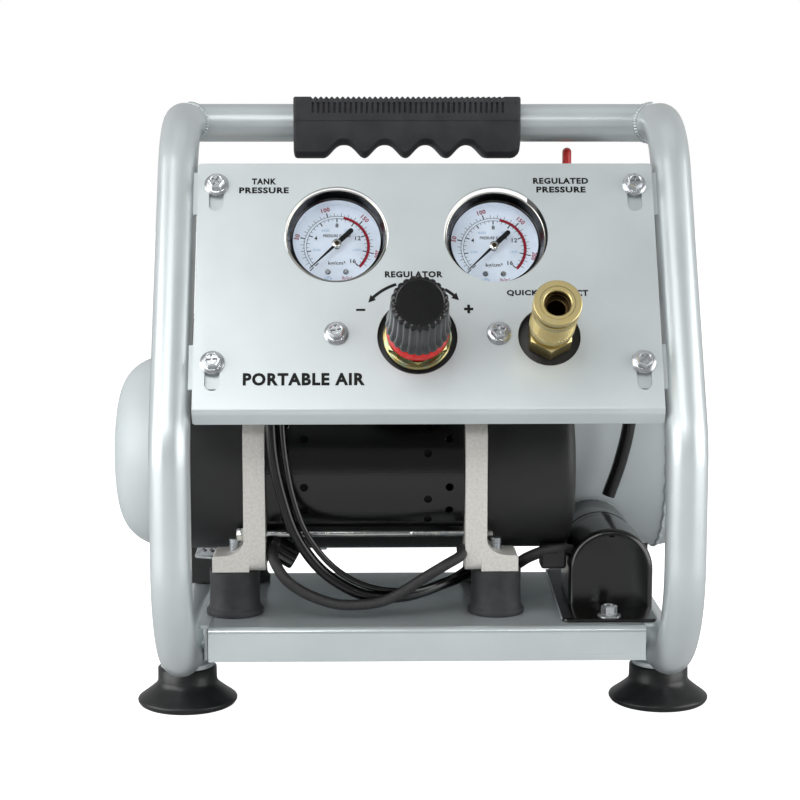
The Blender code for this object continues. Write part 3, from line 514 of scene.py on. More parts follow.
def hoop(side, name):
    """One bent tube, with foot discs, panel tabs and end plugs."""
    lean_run = (TOP_Z - KINK_Z) * math.tan(LEAN)
    rear_end = 0.0165
    corners = [(side * HOOP_X, y, z) for y, z in ((rear_end, TOP_Z), (FRONT_Y + lean_run, TOP_Z),
        (FRONT_Y, KINK_Z), (FRONT_Y, LOW_Z), (REAR_Y, LOW_Z), (REAR_Y, REAR_Z))]
    radii = (BEND_RADIUS, BEND_RADIUS, FOOT_BEND, FOOT_BEND)
    tube = sweep(f"{name}_tube", rounded_path(corners, radii, 24), TUBE, 48)
    piece(tube, "silver_paint", name)
    for end in ("front", "rear"):
        foot = f"{end}_{name.split('_')[0]}_foot"
        y = middle(foot).y
        z = box(foot)[1].z
        disc = [(0.015, z + 0.0002), (0.0155, z + 0.0006), (0.0155, z + 0.0028), (0.015, z + 0.0033)]
        piece(lathe(f"{foot}_disc", disc, at(side * HOOP_X, y, 0)), "silver_paint")
        weld = [(side * HOOP_X + 0.0107 * cos(t), y + 0.0125 * sin(t),
            z + 0.004) for t in around(96)]
        piece(sweep(f"{foot}_weld", weld, bead(0.0012, 26), 8, True), "silver_paint")
    for index, slope in enumerate((0.042, 0.144)):
        inner = 0.104
        tab = block(f"{name}_tab_{index}", (inner, -0.013, -0.001), (HOOP_X - 0.006, 0.013, 0.001),
            on_panel(0, slope, -0.0036))
        if side < 0:
            tab.data.transform(Matrix.Diagonal((-1, 1, 1, 1)))
            tab.data.flip_normals()
        piece(ease(tab, 0.0006), "silver_paint")
    plug = [(TUBE - 0.0004, 0), (TUBE - 0.0004, 0.0008), (TUBE - 0.0016, 0.0014), (0.002, 0.0016)]
    for index, place in enumerate((at(side * HOOP_X, rear_end, TOP_Z, ALONG_Y),
            at(side * HOOP_X, REAR_Y, REAR_Z))):
        piece(lathe(f"{name}_plug_{index}", plug, place, 48), "satin_black")


def bead(size, ripples):
    """The swelling radius of a weld bead."""
    return lambda share: size * (1 + 0.22 * sin(2 * pi * ripples * share))


def handle_bar():
    path = [(HOOP_X * (2 * i / 12 - 1), 0, TOP_Z) for i in range(13)]
    piece(sweep("cross_bar", path, TUBE, 48), "silver_paint", "handle_bar")
    for side in (-1, 1):
        saddle = [(side * (HOOP_X - 0.0004 - TUBE * abs(cos(t))), TUBE * cos(t),
            TOP_Z + TUBE * sin(t)) for t in around(240)]
        weld = sweep(f"cross_bar_weld_{side + 1}", saddle, bead(0.0012, 44), 10, True)
        piece(weld, "silver_paint", smooth=60)


def handle_grip():
    """The moulded grip: notched along its top, slotted below the notches, scalloped under."""
    low, high = box("handle_grip")
    depth = (high.y - low.y) / 2
    corner = 0.0016
    pitch = 0.00317
    first_notch = -0.0637
    notches = [first_notch + pitch * i for i in range(36)]
    scallop_pitch = 0.0241
    scallop_depth = 0.0076
    scallops = [-0.0457 + scallop_pitch * i for i in range(4)]

    def underside(x):
        lift = 0.0
        for centre in scallops:
            share = 2 * abs(x - centre) / scallop_pitch
            if share < 1:
                lift = scallop_depth * (0.5 + 0.5 * cos(pi * share ** 1.3))
        rounding = 0.0025 if x < 0 else 0.006
        end = min(x - low.x, high.x - x, rounding)
        return low.z + lift + rounding - math.sqrt(rounding ** 2 - (rounding - end) ** 2)

    def section(x, notch, slot, shrink):
        top = high.z
        under = underside(x)
        half = [(0.0, top - notch), (0.006, top - notch), (0.012, top - notch)]
        for i in range(5):
            angle = pi / 2 * (1 - i / 4)
            half.append((depth - corner + corner * cos(angle),
                top - notch - corner + corner * sin(angle)))
        half += [(depth, 0.34675), (depth - slot, 0.3466), (depth - slot, 0.34085), (depth, 0.3407),
            (depth, 0.3364), (depth - 0.0003, 0.33625), (depth - 0.0003, 0.3359), (depth, 0.33575),
            (depth, 0.333), (depth, under + 0.004), (depth - 0.0006, under + 0.0034),
            (depth - 0.0014, under + 0.0018), (depth - 0.0028, under + 0.0007), (depth - 0.0052, under),
            (0.004, under)]
        ring = half + [(-y, z) for y, z in reversed(half[1:])]
        centre = (top + under) / 2
        half_height = 0.018
        return [(x, y * (1 - shrink / depth), centre + (z - centre) * (1 - shrink / half_height))
            for y, z in ring]

    stations = [(low.x, 0, 0, 0.001), (low.x + 0.0004, 0, 0, 0.0003), (low.x + 0.0011, 0, 0, 0)]
    stations += [(low.x + 0.002 + 0.0017 * i, 0, 0, 0) for i in range(5)]
    for x in notches:
        for offset, notch, slot in ((-0.00125, 0, 0), (-0.00066, 0.5, 0), (-0.00058, 0.6, 1), (0, 1, 1),
                (0.00058, 0.6, 1), (0.00066, 0.5, 0), (0.00125, 0, 0)):
            stations.append((x + offset, 0.00125 * notch, 0.0013 * slot, 0))
    stations += [(notches[-1] + 0.002 + 0.0014 * i, 0, 0, 0) for i in range(5)]
    stations += [(high.x - 0.0011, 0, 0, 0), (high.x - 0.0004, 0, 0, 0.0003), (high.x, 0, 0, 0.001)]
    made = loft("carry_grip", [section(*station) for station in stations])
    piece(made, "grip_rubber", "handle_grip", smooth=32)


def rubber_foot(name):
    """A suction-style foot: a plain neck over a thin flared cup."""
    place = middle(name)
    top = box(name)[1].z
    profile = [(0.0164, top), (0.017, top - 0.0005), (0.0171, 0.0145), (0.0176, 0.0127),
        (0.019, 0.0111), (0.0215, 0.009), (0.0245, 0.0067), (0.027, 0.0049), (0.0284, 0.0038),
        (0.0288, 0.003), (0.0286, 0.002), (0.0276, 0.0006), (0.0266, 0.0), (0.02, 0.0012)]
    made = lathe(f"{name}_cup", profile, at(place.x, place.y, 0), 72)
    piece(made, "foot_rubber", name, smooth=50)


def base_plate():
    """The folded tray: a top with turned-down front and back, and tabs to the rails."""
    low, high = box("base_plate")
    thin = 0.002
    flange_half = 0.1195
    flange_low = 0.0425
    outer = rounded_path([(low.y, flange_low, 0), (low.y, high.z, 0), (high.y, high.z, 0),
        (high.y, flange_low, 0)], 0.0035, 6)
    inner = rounded_path([(high.y - thin, flange_low, 0), (high.y - thin, high.z - thin, 0),
        (low.y + thin, high.z - thin, 0), (low.y + thin, flange_low, 0)], 0.0015, 6)
    section = [(point.x, point.y) for point in outer + inner]
    tray = flat("base_tray", [section], 2 * flange_half, SIDEWAYS)
    piece(ease(tray, 0.0004), "tray_paint", "base_plate")
    for side in (-1, 1):
        ends = sorted((side * (flange_half - 0.002), side * high.x))
        rim = [(ends[0], low.y + 0.006, 0), (ends[1], low.y + 0.006, 0), (ends[1], high.y - 0.006, 0),
            (ends[0], high.y - 0.006, 0)]
        wing = flat(f"base_wing_{side + 1}", [rounded_path(rim, 0.003, 4, True)], thin,
            at(0, 0, high.z - thin / 2))
        piece(ease(wing, 0.0004), "silver_paint")
        ends = sorted((side * 0.1238, side * 0.1258))
        tab = block(f"base_tab_{side + 1}", (ends[0], -0.085, 0.031), (ends[1], -0.02, 0.0605))
        piece(ease(tab, 0.0006), "silver_paint")
        seam = [(side * 0.1262, -0.08 + 0.055 * i / 60, 0.0385) for i in range(61)]
        piece(sweep(f"base_weld_{side + 1}", seam, bead(0.0017, 24), 8), "silver_paint")


# ---------------------------------------------------------------- control panel

def slot_outline(x, low, high, half):
    turns = [pi * i / 12 for i in range(13)]
    points = [(x + half * cos(t), high - half + half * sin(t)) for t in turns]
    points += [(x - half * cos(t), low + half - half * sin(t)) for t in turns]
    return points


def control_panel():
    """The sheet panel with its holes and slots, its lower edge rolled back into a lip."""
    half = 0.1253
    top_s = 0.161
    bend_s = 0.0165
    lip = 0.0075
    thin = 0.0015
    lip_turn = radians(60)
    rim = rounded_path([(-half, bend_s - lip, 0), (half, bend_s - lip, 0), (half, top_s, 0),
        (-half, top_s, 0)], 0.0016, 6, True)
    holes = [circle(x, GAUGE_S, 0.02845) for x in GAUGE_X]
    holes += [circle(REGULATOR_X, CONTROL_S, 0.0215), circle(COUPLER_X, CONTROL_S, 0.0168)]
    holes += [slot_outline(side * SCREW_X, s - 0.0157, s + 0.004, 0.004)
        for side in (-1, 1) for s in SCREW_S]
    made = flat("panel_sheet", [rim, *holes], thin, at(0, 0, -thin / 2))
    shape = bmesh.new()
    shape.from_mesh(made.data)
    radius = 0.0026
    bend_length = radius * lip_turn
    for i in range(9):
        geometry = shape.verts[:] + shape.edges[:] + shape.faces[:]
        level = bend_s + bend_length / 2 - bend_length * i / 8
        bmesh.ops.bisect_plane(shape, geom=geometry, plane_co=(0, level, 0), plane_no=(0, 1, 0))
    start = bend_s + bend_length / 2
    for vertex in shape.verts:
        run = start - vertex.co.y
        if run <= 0:
            continue
        turn = min(lip_turn, run / radius)
        straight = max(0.0, run - bend_length)
        reach = radius + vertex.co.z + thin / 2
        centre_z = -thin / 2 - radius
        vertex.co.y = start - reach * sin(turn) - straight * cos(turn)
        vertex.co.z = centre_z + reach * cos(turn) - straight * sin(turn)
    shape.to_mesh(made.data)
    shape.free()
    made.matrix_world = PANEL @ at(0, 0, -thin / 2)
    piece(ease(made, 0.00035), "silver_paint", "control_panel", smooth=40)


def arrow(name, centre, radius, start, end, width):
    """A printed arc with a pointed head at its end angle."""
    steps = 20
    turn = math.copysign(1, end - start)
    head = turn * 0.13
    arc = [start + (end - head - start) * i / steps for i in range(steps + 1)]
    outer = [(radius + width / 2, angle) for angle in arc]
    inner = [(radius - width / 2, angle) for angle in reversed(arc)]
    tip = [(radius + width * 1.25, end - head), (radius, end), (radius - width * 1.25, end - head)]
    outline = [(centre[0] + reach * cos(angle), centre[1] + reach * sin(angle))
        for reach, angle in outer + tip + inner]
    return flat(name, [outline], 0.00006, on_panel(0, 0, 0.00005))


def panel_print():
    """The printed words and marks."""
    def label(text, x, slope, width, height=0.0037):
        return words("label", text, width, height, on_panel(x, slope, PRINT_LIFT), 0.045)

    marks = [label("TANK", -0.089, 0.15, 0.0135), label("PRESSURE", -0.089, 0.1446, 0.0272),
        label("REGULATED", 0.0745, 0.1503, 0.0305), label("PRESSURE", 0.0745, 0.145, 0.0272),
        label("REGULATOR", -0.0072, 0.0944, 0.0314), label("QUICK", 0.0515, 0.0833, 0.0172),
        label("CONNECT", 0.0745, 0.0833, 0.025), label("PORTABLE AIR", -0.0662, 0.0341, 0.0648, 0.0072),
        label("-", -0.036, 0.0737, 0.005, 0.0013), label("+", 0.0221, 0.0741, 0.005, 0.005)]
    centre = (REGULATOR_X - 0.0012, CONTROL_S)
    for start, end in ((108, 142), (59, 41)):
        marks.append(arrow("arc", centre, 0.0318, radians(start), radians(end), 0.0017))
    piece(join("panel_print", marks), "ink_black")


def cross_screw(name, place, look="bright_zinc", node=None):
    """A hex flange screw: a round pocket in its head, with four pads that leave a cross."""
    pocket = 0.0028
    pocket_floor = 0.0044
    pad_top = 0.006
    slot = 0.0005

    def hexed(angle, radius, height):
        if radius < 0.0037:
            return radius
        return radius * cos(pi / 6) / cos(angle % (pi / 3) - pi / 6)

    head = lathe(name, [(pocket, pocket_floor), (pocket, pad_top), (0.0032, 0.0064), (0.0038, 0.0064),
        (0.0045, 0.0057), (0.0045, 0.0004)], FLAT, 48, shape_radius=hexed)
    spare = math.asin(slot / pocket)
    pads = []
    for quarter in range(4):
        turn = pi / 2 * quarter
        corners = [(slot * math.sqrt(2), turn + pi / 4)]
        corners += [(pocket, turn + spare + (pi / 2 - 2 * spare) * i / 6) for i in range(7)]
        pads.append(loft("pad", [[(reach * cos(angle), reach * sin(angle), level)
            for reach, angle in corners] for level in (pocket_floor - 0.0002, pad_top - 0.0002)]))
    flange = lathe("flange", [(0.0044, 0.0017), (0.0056, 0.0014), (0.0066, 0.0009), (0.0066, 0.0003),
        (0.0026, 0.0003), (0.0026, -0.0085)], FLAT, 48)
    made = join(name, [head, flange, *pads])
    made.matrix_world = place
    nodes = [node] if node else []
    return piece(made, look, *nodes, smooth=30)


def panel_screws():
    for side, name in ((-1, "left"), (1, "right")):
        for level, slope in zip(("lower", "upper"), SCREW_S):
            cross_screw(f"{level}_{name}_flange_screw", on_panel(side * SCREW_X, slope, 0,
                0.3 * side + slope * 9), node=f"{level}_{name}_screw")
    for x, name in zip(GAUGE_X, ("left", "right")):
        cross_screw(f"middle_{name}_flange_screw", on_panel(x, MIDDLE_SCREW_S, 0, 0.2),
            node=f"middle_{name}_screw")


# ---------------------------------------------------------------- gauges

FULL_SCALE = 16.0               # kg/cm2 over the 270 degrees of the dial
PSI_PER_KG = 14.223


def dial_angle(pressure):
    """Dial angle of a pressure in kg/cm2: zero at lower left, clockwise."""
    return radians(225 - 270 * pressure / FULL_SCALE)


def ring_part(name, inner, outer, start, end, place, steps=60):
    angles = [start + (end - start) * i / steps for i in range(steps + 1)]
    outline = [(outer * cos(a), outer * sin(a)) for a in angles]
    outline += [(inner * cos(a), inner * sin(a)) for a in reversed(angles)]
    return flat(name, [outline], 0.00004, place)


def tick(pressure, inner, outer, width, place):
    angle = dial_angle(pressure)
    along = Matrix.Rotation(angle, 4, "Z")
    return block("tick", (inner, -width / 2, -0.00002), (outer, width / 2, 0.00002), place @ along)


def dial_print(name, place):
    """Scale rings, ticks and numbers, in black, red and pale blue."""
    inner_scale = 0.0168
    outer_scale = 0.0182
    half_line = 0.00012
    lift = 0.00003
    black = [ring_part("line", radius - half_line, radius + half_line, dial_angle(0),
        dial_angle(FULL_SCALE), place) for radius in (inner_scale, outer_scale)]
    for half_step in range(33):
        pressure = half_step / 2
        length, width = (0.0011, 0.00022)
        if half_step % 2 == 0:
            length, width = (0.0016, 0.00025)
        if half_step % 4 == 0:
            length, width = (0.0023, 0.0006)
        black.append(tick(pressure, inner_scale - length, inner_scale, width, place))
    for five in range(45):
        pressure = five * 5 / PSI_PER_KG
        length, width = (0.001, 0.00022)
        if five % 2 == 0:
            length, width = (0.002, 0.00025)
        if five % 10 == 0:
            length, width = (0.0027, 0.0006)
        black.append(tick(pressure, outer_scale, outer_scale + length, width, place))
    for value, width in ((4, 0.0016), (8, 0.0017), (12, 0.0031), (16, 0.0031)):
        angle = dial_angle(value)
        spot = at(0.0126 * cos(angle), 0.0126 * sin(angle), lift)
        black.append(words("number", str(value), width, 0.0025, place @ spot, 0.02))
    for text, y, width, height in (("PRESSURE GAUGE", 0.0063, 0.0152, 0.0017),
            ("kg/cm²", -0.0104, 0.0094, 0.0027)):
        spot = at(0, y, lift)
        black.append(words("caption", text, width, height, place @ spot, 0.02))
    piece(join(f"{name}_black_print", black), "ink_black")

    red = [ring_part("arc", 0.0169, 0.0183, dial_angle(8.7), dial_angle(FULL_SCALE),
        place @ at(0, 0, lift))]
    for value in (50, 100, 150, 200):
        angle = dial_angle(value / PSI_PER_KG)
        spot = Matrix.Rotation(angle - pi / 2, 4, "Z") @ at(0, 0.0228, lift)
        width = 0.0034 if value < 100 else 0.0048
        red.append(words("number", str(value), width, 0.0026, place @ spot, 0.03))
    spot = place @ at(0.0057, -0.019, lift)
    red.append(words("unit", "lb/in²", 0.0056, 0.0019, spot, 0.0))
    piece(join(f"{name}_red_print", red), "ink_red")

    spot = place @ at(-0.0046, -0.019, lift)
    blue = [words("unit", "kPa", 0.004, 0.0019, spot, 0.0)]
    for value in (2, 6, 10, 14):
        angle = dial_angle(value)
        spot = at(0.0114 * cos(angle), 0.0114 * sin(angle), lift)
        blue.append(words("number", str(value * 100), 0.0042, 0.0014, place @ spot, 0.0))
    piece(join(f"{name}_blue_print", blue), "ink_blue")


def gauge(name, body, x, recess):
    """Case with a sloping bezel, printed dial, needle and lens."""
    place = on_panel(x, GAUGE_S, -recess)
    stem_end = recess - 0.0452
    case = [(0.0256, -0.0165), (0.0256, -0.0068), (0.0243, -0.007), (0.0241, -0.0066), (0.0246, -0.006),
        (0.0249, -0.0056), (0.0252, -0.0055), (0.0264, -0.0016), (0.0267, -0.0004), (0.027, -0.0002),
        (0.0272, -0.0004), (0.0272, -0.0255), (0.0268, -0.0272), (0.0255, -0.028), (0.006, -0.028),
        (0.0056, -0.0285), (0.0056, stem_end)]
    # the case's chrome is darkened: a painted dark reflection in the bezel's sloping wall
    piece(lathe(f"{name}_shell", case, place, 128), "chrome_painted_dark", f"{name}_case")
    rim = [(0.0268, -0.0006), (0.0269, 0.0001), (0.0272, 0.0003), (0.0275, 0.0001), (0.0277, -0.0006),
        (0.0277, -0.003), (0.0268, -0.003)]
    piece(lathe(f"{name}_rim", rim, place, 128, loop=True), "rim_chrome")
    hexagon_place = on_panel(x, GAUGE_S, stem_end - recess + 0.008)
    piece(ease(hexagon(f"{name}_stem_hex", [(0.008, 0.004), (0.008, -0.004)], hexagon_place), 0.0004),
        "brass")
    # the cup and the face glow a little: painted light inside the shaded case
    cup = [(0.025, -0.0146), (0.0253, -0.0086), (0.0255, -0.0086), (0.0255, -0.0146)]
    piece(lathe(f"{name}_cup", cup, place, 96, loop=True), "dial_white")
    face = [(0.0018, -0.0148), (0.0252, -0.0148), (0.0252, -0.0158), (0.0018, -0.0158)]
    piece(lathe(f"{name}_face", face, place, 128, loop=True), "dial_white", f"{name}_dial")
    print_place = place @ at(0, 0, -0.01476)
    dial_print(name, print_place)
    for index, spot in enumerate((-0.005, 0.005)):
        screw = lathe(f"{name}_dial_screw_{index}", [(0.0016, 0), (0.0016, 0.0004), (0.0011, 0.0008)],
            print_place @ at(spot, -0.0155, 0), 24)
        slots = [block("slot", (-0.0012, -0.00018, 0.0004), (0.0012, 0.00018, 0.001),
            screw.matrix_world @ Matrix.Rotation(0.6 + index, 4, "Z"))]
        piece(cut(screw, slots), "zinc")
    needle(f"{name}_pointer", body, place, f"{name}_needle")
    lens = [(0.0252, -0.007), (0.0253, -0.0071), (0.0253, -0.0083), (0.0252, -0.0084)]
    piece(lathe(f"{name}_pane", lens, place, 96), "clear_lens", f"{name}_lens")


def needle(name, body, place, node):
    """A tapered pointer with a thick round tail."""
    height = -0.011
    tail = 0.011
    tail_half = 0.00135
    outline = [(0.0212, 0.00012), (0.002, 0.00075), (-0.002, 0.00095), (-0.0026, tail_half)]
    outline += [(-tail - tail_half * sin(pi * i / 12),
        tail_half * cos(pi * i / 12)) for i in range(13)]
    outline += [(x, -y) for x, y in reversed(outline[:4])]
    turned = place @ at(0, 0, height) @ Matrix.Rotation(dial_angle(0), 4, "Z")
    blade = ease(flat(name, [outline], 0.0008, turned), 0.00015, 1)
    piece(blade, "ink_black", node, body=body)
    centre = place @ at(0, 0, height)
    hub = [(0.0022, 0.0007), (0.0026, 0.0005), (0.0026, -0.0008), (0.0012, -0.001), (0.0012, -0.0045)]
    piece(lathe(f"{name}_hub", hub, centre, 32), "rim_chrome", body=body)
    pin = [(0.0005, 0.0016), (0.001, 0.0014), (0.0013, 0.001), (0.0013, 0.0005)]
    piece(lathe(f"{name}_pin", pin, centre, 32), "dark_brass_and_painted_shade", body=body)


# ---------------------------------------------------------------- regulator and coupler

def regulator():
    axis = on_panel(REGULATOR_X, CONTROL_S)
    # the barrel's wide rear flange is a dark disc behind the panel hole: painted shade where the inside
    # of the machine lies
    body = [(0.0118, 0.02), (0.012, 0.0198), (0.012, 0.0066), (0.015, 0.0064), (0.0152, 0.006),
        (0.0152, -0.0045), (0.0225, -0.0055), (0.0235, -0.0065), (0.0235, -0.018), (0.0225, -0.02),
        (0.0148, -0.0205), (0.0148, -0.0315)]
    piece(lathe("regulator_barrel_and_shade_disc", body, axis), "satin_black", "regulator_body")
    nut = hexagon("regulator_hex", [(0.0179, 0.005), (0.0179, -0.0004)], axis)
    crown = lathe("crown", [(0.0164, 0.0052), (0.0182, 0.0038), (0.0182, -0.001)], axis, 96)
    nut = cut(nut, [crown], "INTERSECT")
    nut = cut(nut, [lathe("bore", [(0.0154, 0.01), (0.0154, -0.01)], axis, 64)])
    flange = [(0.0154, 0.0002), (0.0176, 0.0002), (0.0184, -0.0003), (0.0187, -0.001),
        (0.0187, -0.0024), (0.0154, -0.0024)]
    flange = lathe("flange", flange, axis, 96, loop=True)
    piece(ease(join("regulator_ring_nut", [nut, flange]), 0.0002), "yellow_zinc", "regulator_nut")
    ring = [(0.0124, 0.0198), (0.0156, 0.0198), (0.0158, 0.0196), (0.0158, 0.013), (0.0166, 0.0125),
        (0.0168, 0.0122), (0.0168, 0.0076), (0.0162, 0.0068), (0.0124, 0.0066)]
    piece(lathe("lock_ring", ring, axis, 96, loop=True), "red_plastic", "regulator_ring")
    spindle = [(0.0036, 0.042), (0.004, 0.0416), (0.004, 0.0203)]
    piece(lathe("adjusting_spindle", spindle, axis, 32), "steel", "regulator_spindle", body="spindle")
    flutes = 24
    flute_depth = 0.0008

    def fluted(angle, radius, height):
        inside = radius < 0.0164 and height < 0.024
        if inside or radius < 0.013:
            return radius
        wave = 0.5 - 0.5 * cos(flutes * angle)
        return radius - flute_depth * wave ** 2

    knob = [(0.0043, 0.0454), (0.0043, 0.0238), (0.0158, 0.0238), (0.0158, 0.0166), (0.0168, 0.0165),
        (0.0173, 0.0168), (0.0173, 0.0185), (0.0171, 0.02), (0.0165, 0.023), (0.0161, 0.026),
        (0.0158, 0.03), (0.0155, 0.038), (0.0153, 0.045), (0.0151, 0.0472), (0.0147, 0.0482),
        (0.014, 0.0488), (0.0134, 0.049), (0.0126, 0.0489), (0.0122, 0.0486)]
    piece(lathe("pressure_knob", knob, axis, 240, shape_radius=fluted), "knob_plastic",
        "regulator_knob", body="knob", smooth=28)


def coupler():
    axis = on_panel(COUPLER_X, CONTROL_S)
    body = [(0.0066, 0.03), (0.0066, 0.0462), (0.0071, 0.0471), (0.0075, 0.0474), (0.0091, 0.0474),
        (0.0092, 0.0472), (0.0092, 0.0095), (0.0104, 0.009), (0.0104, -0.0317), (0.0066, -0.0317)]
    piece(lathe("coupler_tube", body, axis, 96, loop=True), "brass", "coupler_body")
    # the bore's inner wall is darkened: painted shade deep inside the coupler
    lining = [(0.0003, 0.018), (0.0047, 0.0182), (0.0047, 0.038), (0.0049, 0.0384), (0.0058, 0.0386),
        (0.0058, 0.04), (0.0061, 0.0402), (0.0061, 0.0432), (0.0065, 0.0434), (0.0065, 0.0455),
        (0.00655, 0.0455), (0.00655, 0.017)]
    piece(lathe("coupler_lining", lining, axis, 64), "dark_brass_and_painted_shade")
    collar = [(0.011, -0.0045), (0.019, -0.0055), (0.02, -0.0065), (0.02, -0.016), (0.019, -0.018),
        (0.011, -0.019)]
    piece(lathe("coupler_collar", collar, axis, 64, loop=True), "satin_black")
    hexagon_body = hexagon("hexagon", [(0.0127, 0.0096), (0.0127, -0.0035)], axis)
    crown = lathe("crown", [(0.0108, 0.01), (0.0128, 0.0084), (0.0128, -0.005)], axis, 96)
    hexagon_body = cut(hexagon_body, [crown], "INTERSECT")
    hexagon_body = cut(hexagon_body, [lathe("bore", [(0.009, 0.02), (0.009, -0.02)], axis)])
    hexagon_body.name = "coupler_hexagon"
    piece(ease(hexagon_body, 0.00025), "brass")

    knurl_low = 0.0215
    knurl_high = 0.036
    knurl_count = 46
    knurl_wave = 3770               # radians for each metre along the axis
    knurl_depth = 0.0009

    def knurled(angle, radius, height):
        if height < knurl_low or height > knurl_high or radius < 0.0118:
            return radius
        wave = cos(knurl_count * angle) * cos(knurl_wave * (height - knurl_low))
        return radius - knurl_depth * (0.5 - 0.5 * wave)

    sleeve = [(0.0096, 0.046), (0.0093, 0.0462), (0.0093, 0.0475), (0.0122, 0.0475), (0.0125, 0.0473),
        (0.0126, 0.047), (0.0126, 0.0442), (0.0124, 0.0438), (0.0106, 0.0436), (0.0106, 0.042),
        (0.0124, 0.0418), (0.0126, 0.0414), (0.0126, 0.039), (0.0123, 0.0386), (0.0122, 0.0384),
        (0.0122, 0.0361)]
    rows = 52
    sleeve += [(0.0122, knurl_high - (knurl_high - knurl_low) * i / rows) for i in range(rows + 1)]
    sleeve += [(0.0122, 0.0213), (0.0122, 0.0172), (0.0116, 0.0165), (0.0096, 0.0165)]
    made = lathe("sliding_sleeve", sleeve, axis, 276, loop=True, shape_radius=knurled)
    piece(made, "brass", "coupler_sleeve", body="sleeve", smooth=30)


# ---------------------------------------------------------------- air side

def manifold():
    """The block behind the panel, its plugs and its arm to the switch."""
    bars = [((-0.057, GAUGE_S - 0.007, -0.0595), (0.086, GAUGE_S + 0.007, -0.0455)),
        ((-0.02, CONTROL_S - 0.007, -0.046), (0.078, CONTROL_S + 0.007, -0.032)),
        ((-0.013, CONTROL_S - 0.006, -0.059), (0.001, GAUGE_S + 0.006, -0.04))]
    parts = [ease(block(f"bar_{i}", low, high, PANEL), 0.0012, 3) for i, (low, high) in enumerate(bars)]
    arm_z = (PANEL @ Vector((0, GAUGE_S, -0.0525))).z
    switch_low = box("pressure_switch")[0]
    parts.append(ease(block("arm", (0.073, -0.056, arm_z - 0.006), (0.085, switch_low.y - 0.0003,
        arm_z + 0.006)), 0.0012, 3))
    piece(join("manifold_block", parts), "cast_aluminium", "air_manifold")
    for index, x in enumerate((-0.0573, 0.0863)):
        turn = ALONG_X if x > 0 else ALONG_X.inverted()
        place = PANEL @ at(x, GAUGE_S, -0.0525, turn)
        piece(ease(hexagon(f"manifold_plug_{index}", [(0.005, 0.0), (0.005, -0.001)], place), 0.0003),
            "brass")


def pressure_switch():
    low, high = box("pressure_switch")
    low = Vector((low.x, low.y, 0.238))
    parting = 0.252
    cover = block("switch_cover", (low.x, low.y, parting), high)
    lever_place = joint_place("switch_lever_turn")
    opening = block("opening", (lever_place.x - 0.0034, lever_place.y - 0.016, 0.277),
        (lever_place.x + 0.0034, lever_place.y + 0.016, 0.3))
    cover = cut(cover, [opening])
    piece(ease(cover, 0.0022, 4), "satin_black", "pressure_switch")
    base = block("switch_base", (low.x + 0.001, low.y + 0.001, low.z), (high.x - 0.001, high.y - 0.001,
        parting + 0.001))
    piece(ease(base, 0.0012, 3), "dark_steel")
    riser_y = 0.04
    riser_low = TANK_Z + math.sqrt(TANK_RADIUS ** 2 - (TANK_Y - riser_y - 0.009) ** 2)
    riser = [(0.009, low.z + 0.002), (0.009, low.z - 0.01), (0.0075, low.z - 0.012),
        (0.0075, riser_low + 0.01), (0.0088, riser_low + 0.007), (0.0088, riser_low)]
    piece(lathe("switch_riser", riser, at(0.09, riser_y, 0)), "brass")
    for index, (x, y) in enumerate(((0.074, 0.049), (0.106, -0.009))):
        cross_screw(f"switch_screw_{index}", at(x, y, high.z - 0.0048))
    half = 0.0027
    tip = 0.0335
    stick = [(half * cos(pi / 2 * i / 8),
        tip - half + half * sin(pi / 2 * i / 8)) for i in range(8, -1, -1)]
    stick[0] = (0.0002, tip)
    stick += [(half, -0.0045), (half * 0.7, -0.006)]
    width_share = 1.9
    blade = lathe("off_lever", stick, FLAT, 40)
    blade.matrix_world = Matrix.Translation(lever_place) @ Matrix.Diagonal((1, width_share, 1, 1))
    piece(blade, "red_plastic", "switch_lever", body="lever")


def safety_valve():
    low, high = box("safety_valve")
    place = at(high.x, (low.y + high.y) / 2, (low.z + high.z) / 2, ALONG_X.inverted())
    body = [(0.003, 0.023), (0.003, 0.02), (0.0022, 0.0195), (0.0022, 0.0185), (0.0048, 0.018),
        (0.006, 0.017), (0.006, 0.007), (0.0056, 0.0066), (0.0056, 0.0)]
    piece(lathe("relief_valve", body, place, 48), "brass", "safety_valve")
    piece(ease(hexagon("relief_valve_hex", [(0.0075, 0.0058), (0.0075, 0.0008)], place), 0.0004),
        "brass")
    centre = middle("safety_ring")
    loop = [(centre.x + 0.0062 * cos(t), centre.y + 0.0062 * sin(t),
        centre.z) for t in around(64)]
    piece(sweep("pull_ring", loop, 0.0006, 12, True), "steel", "safety_ring", body="relief_ring")


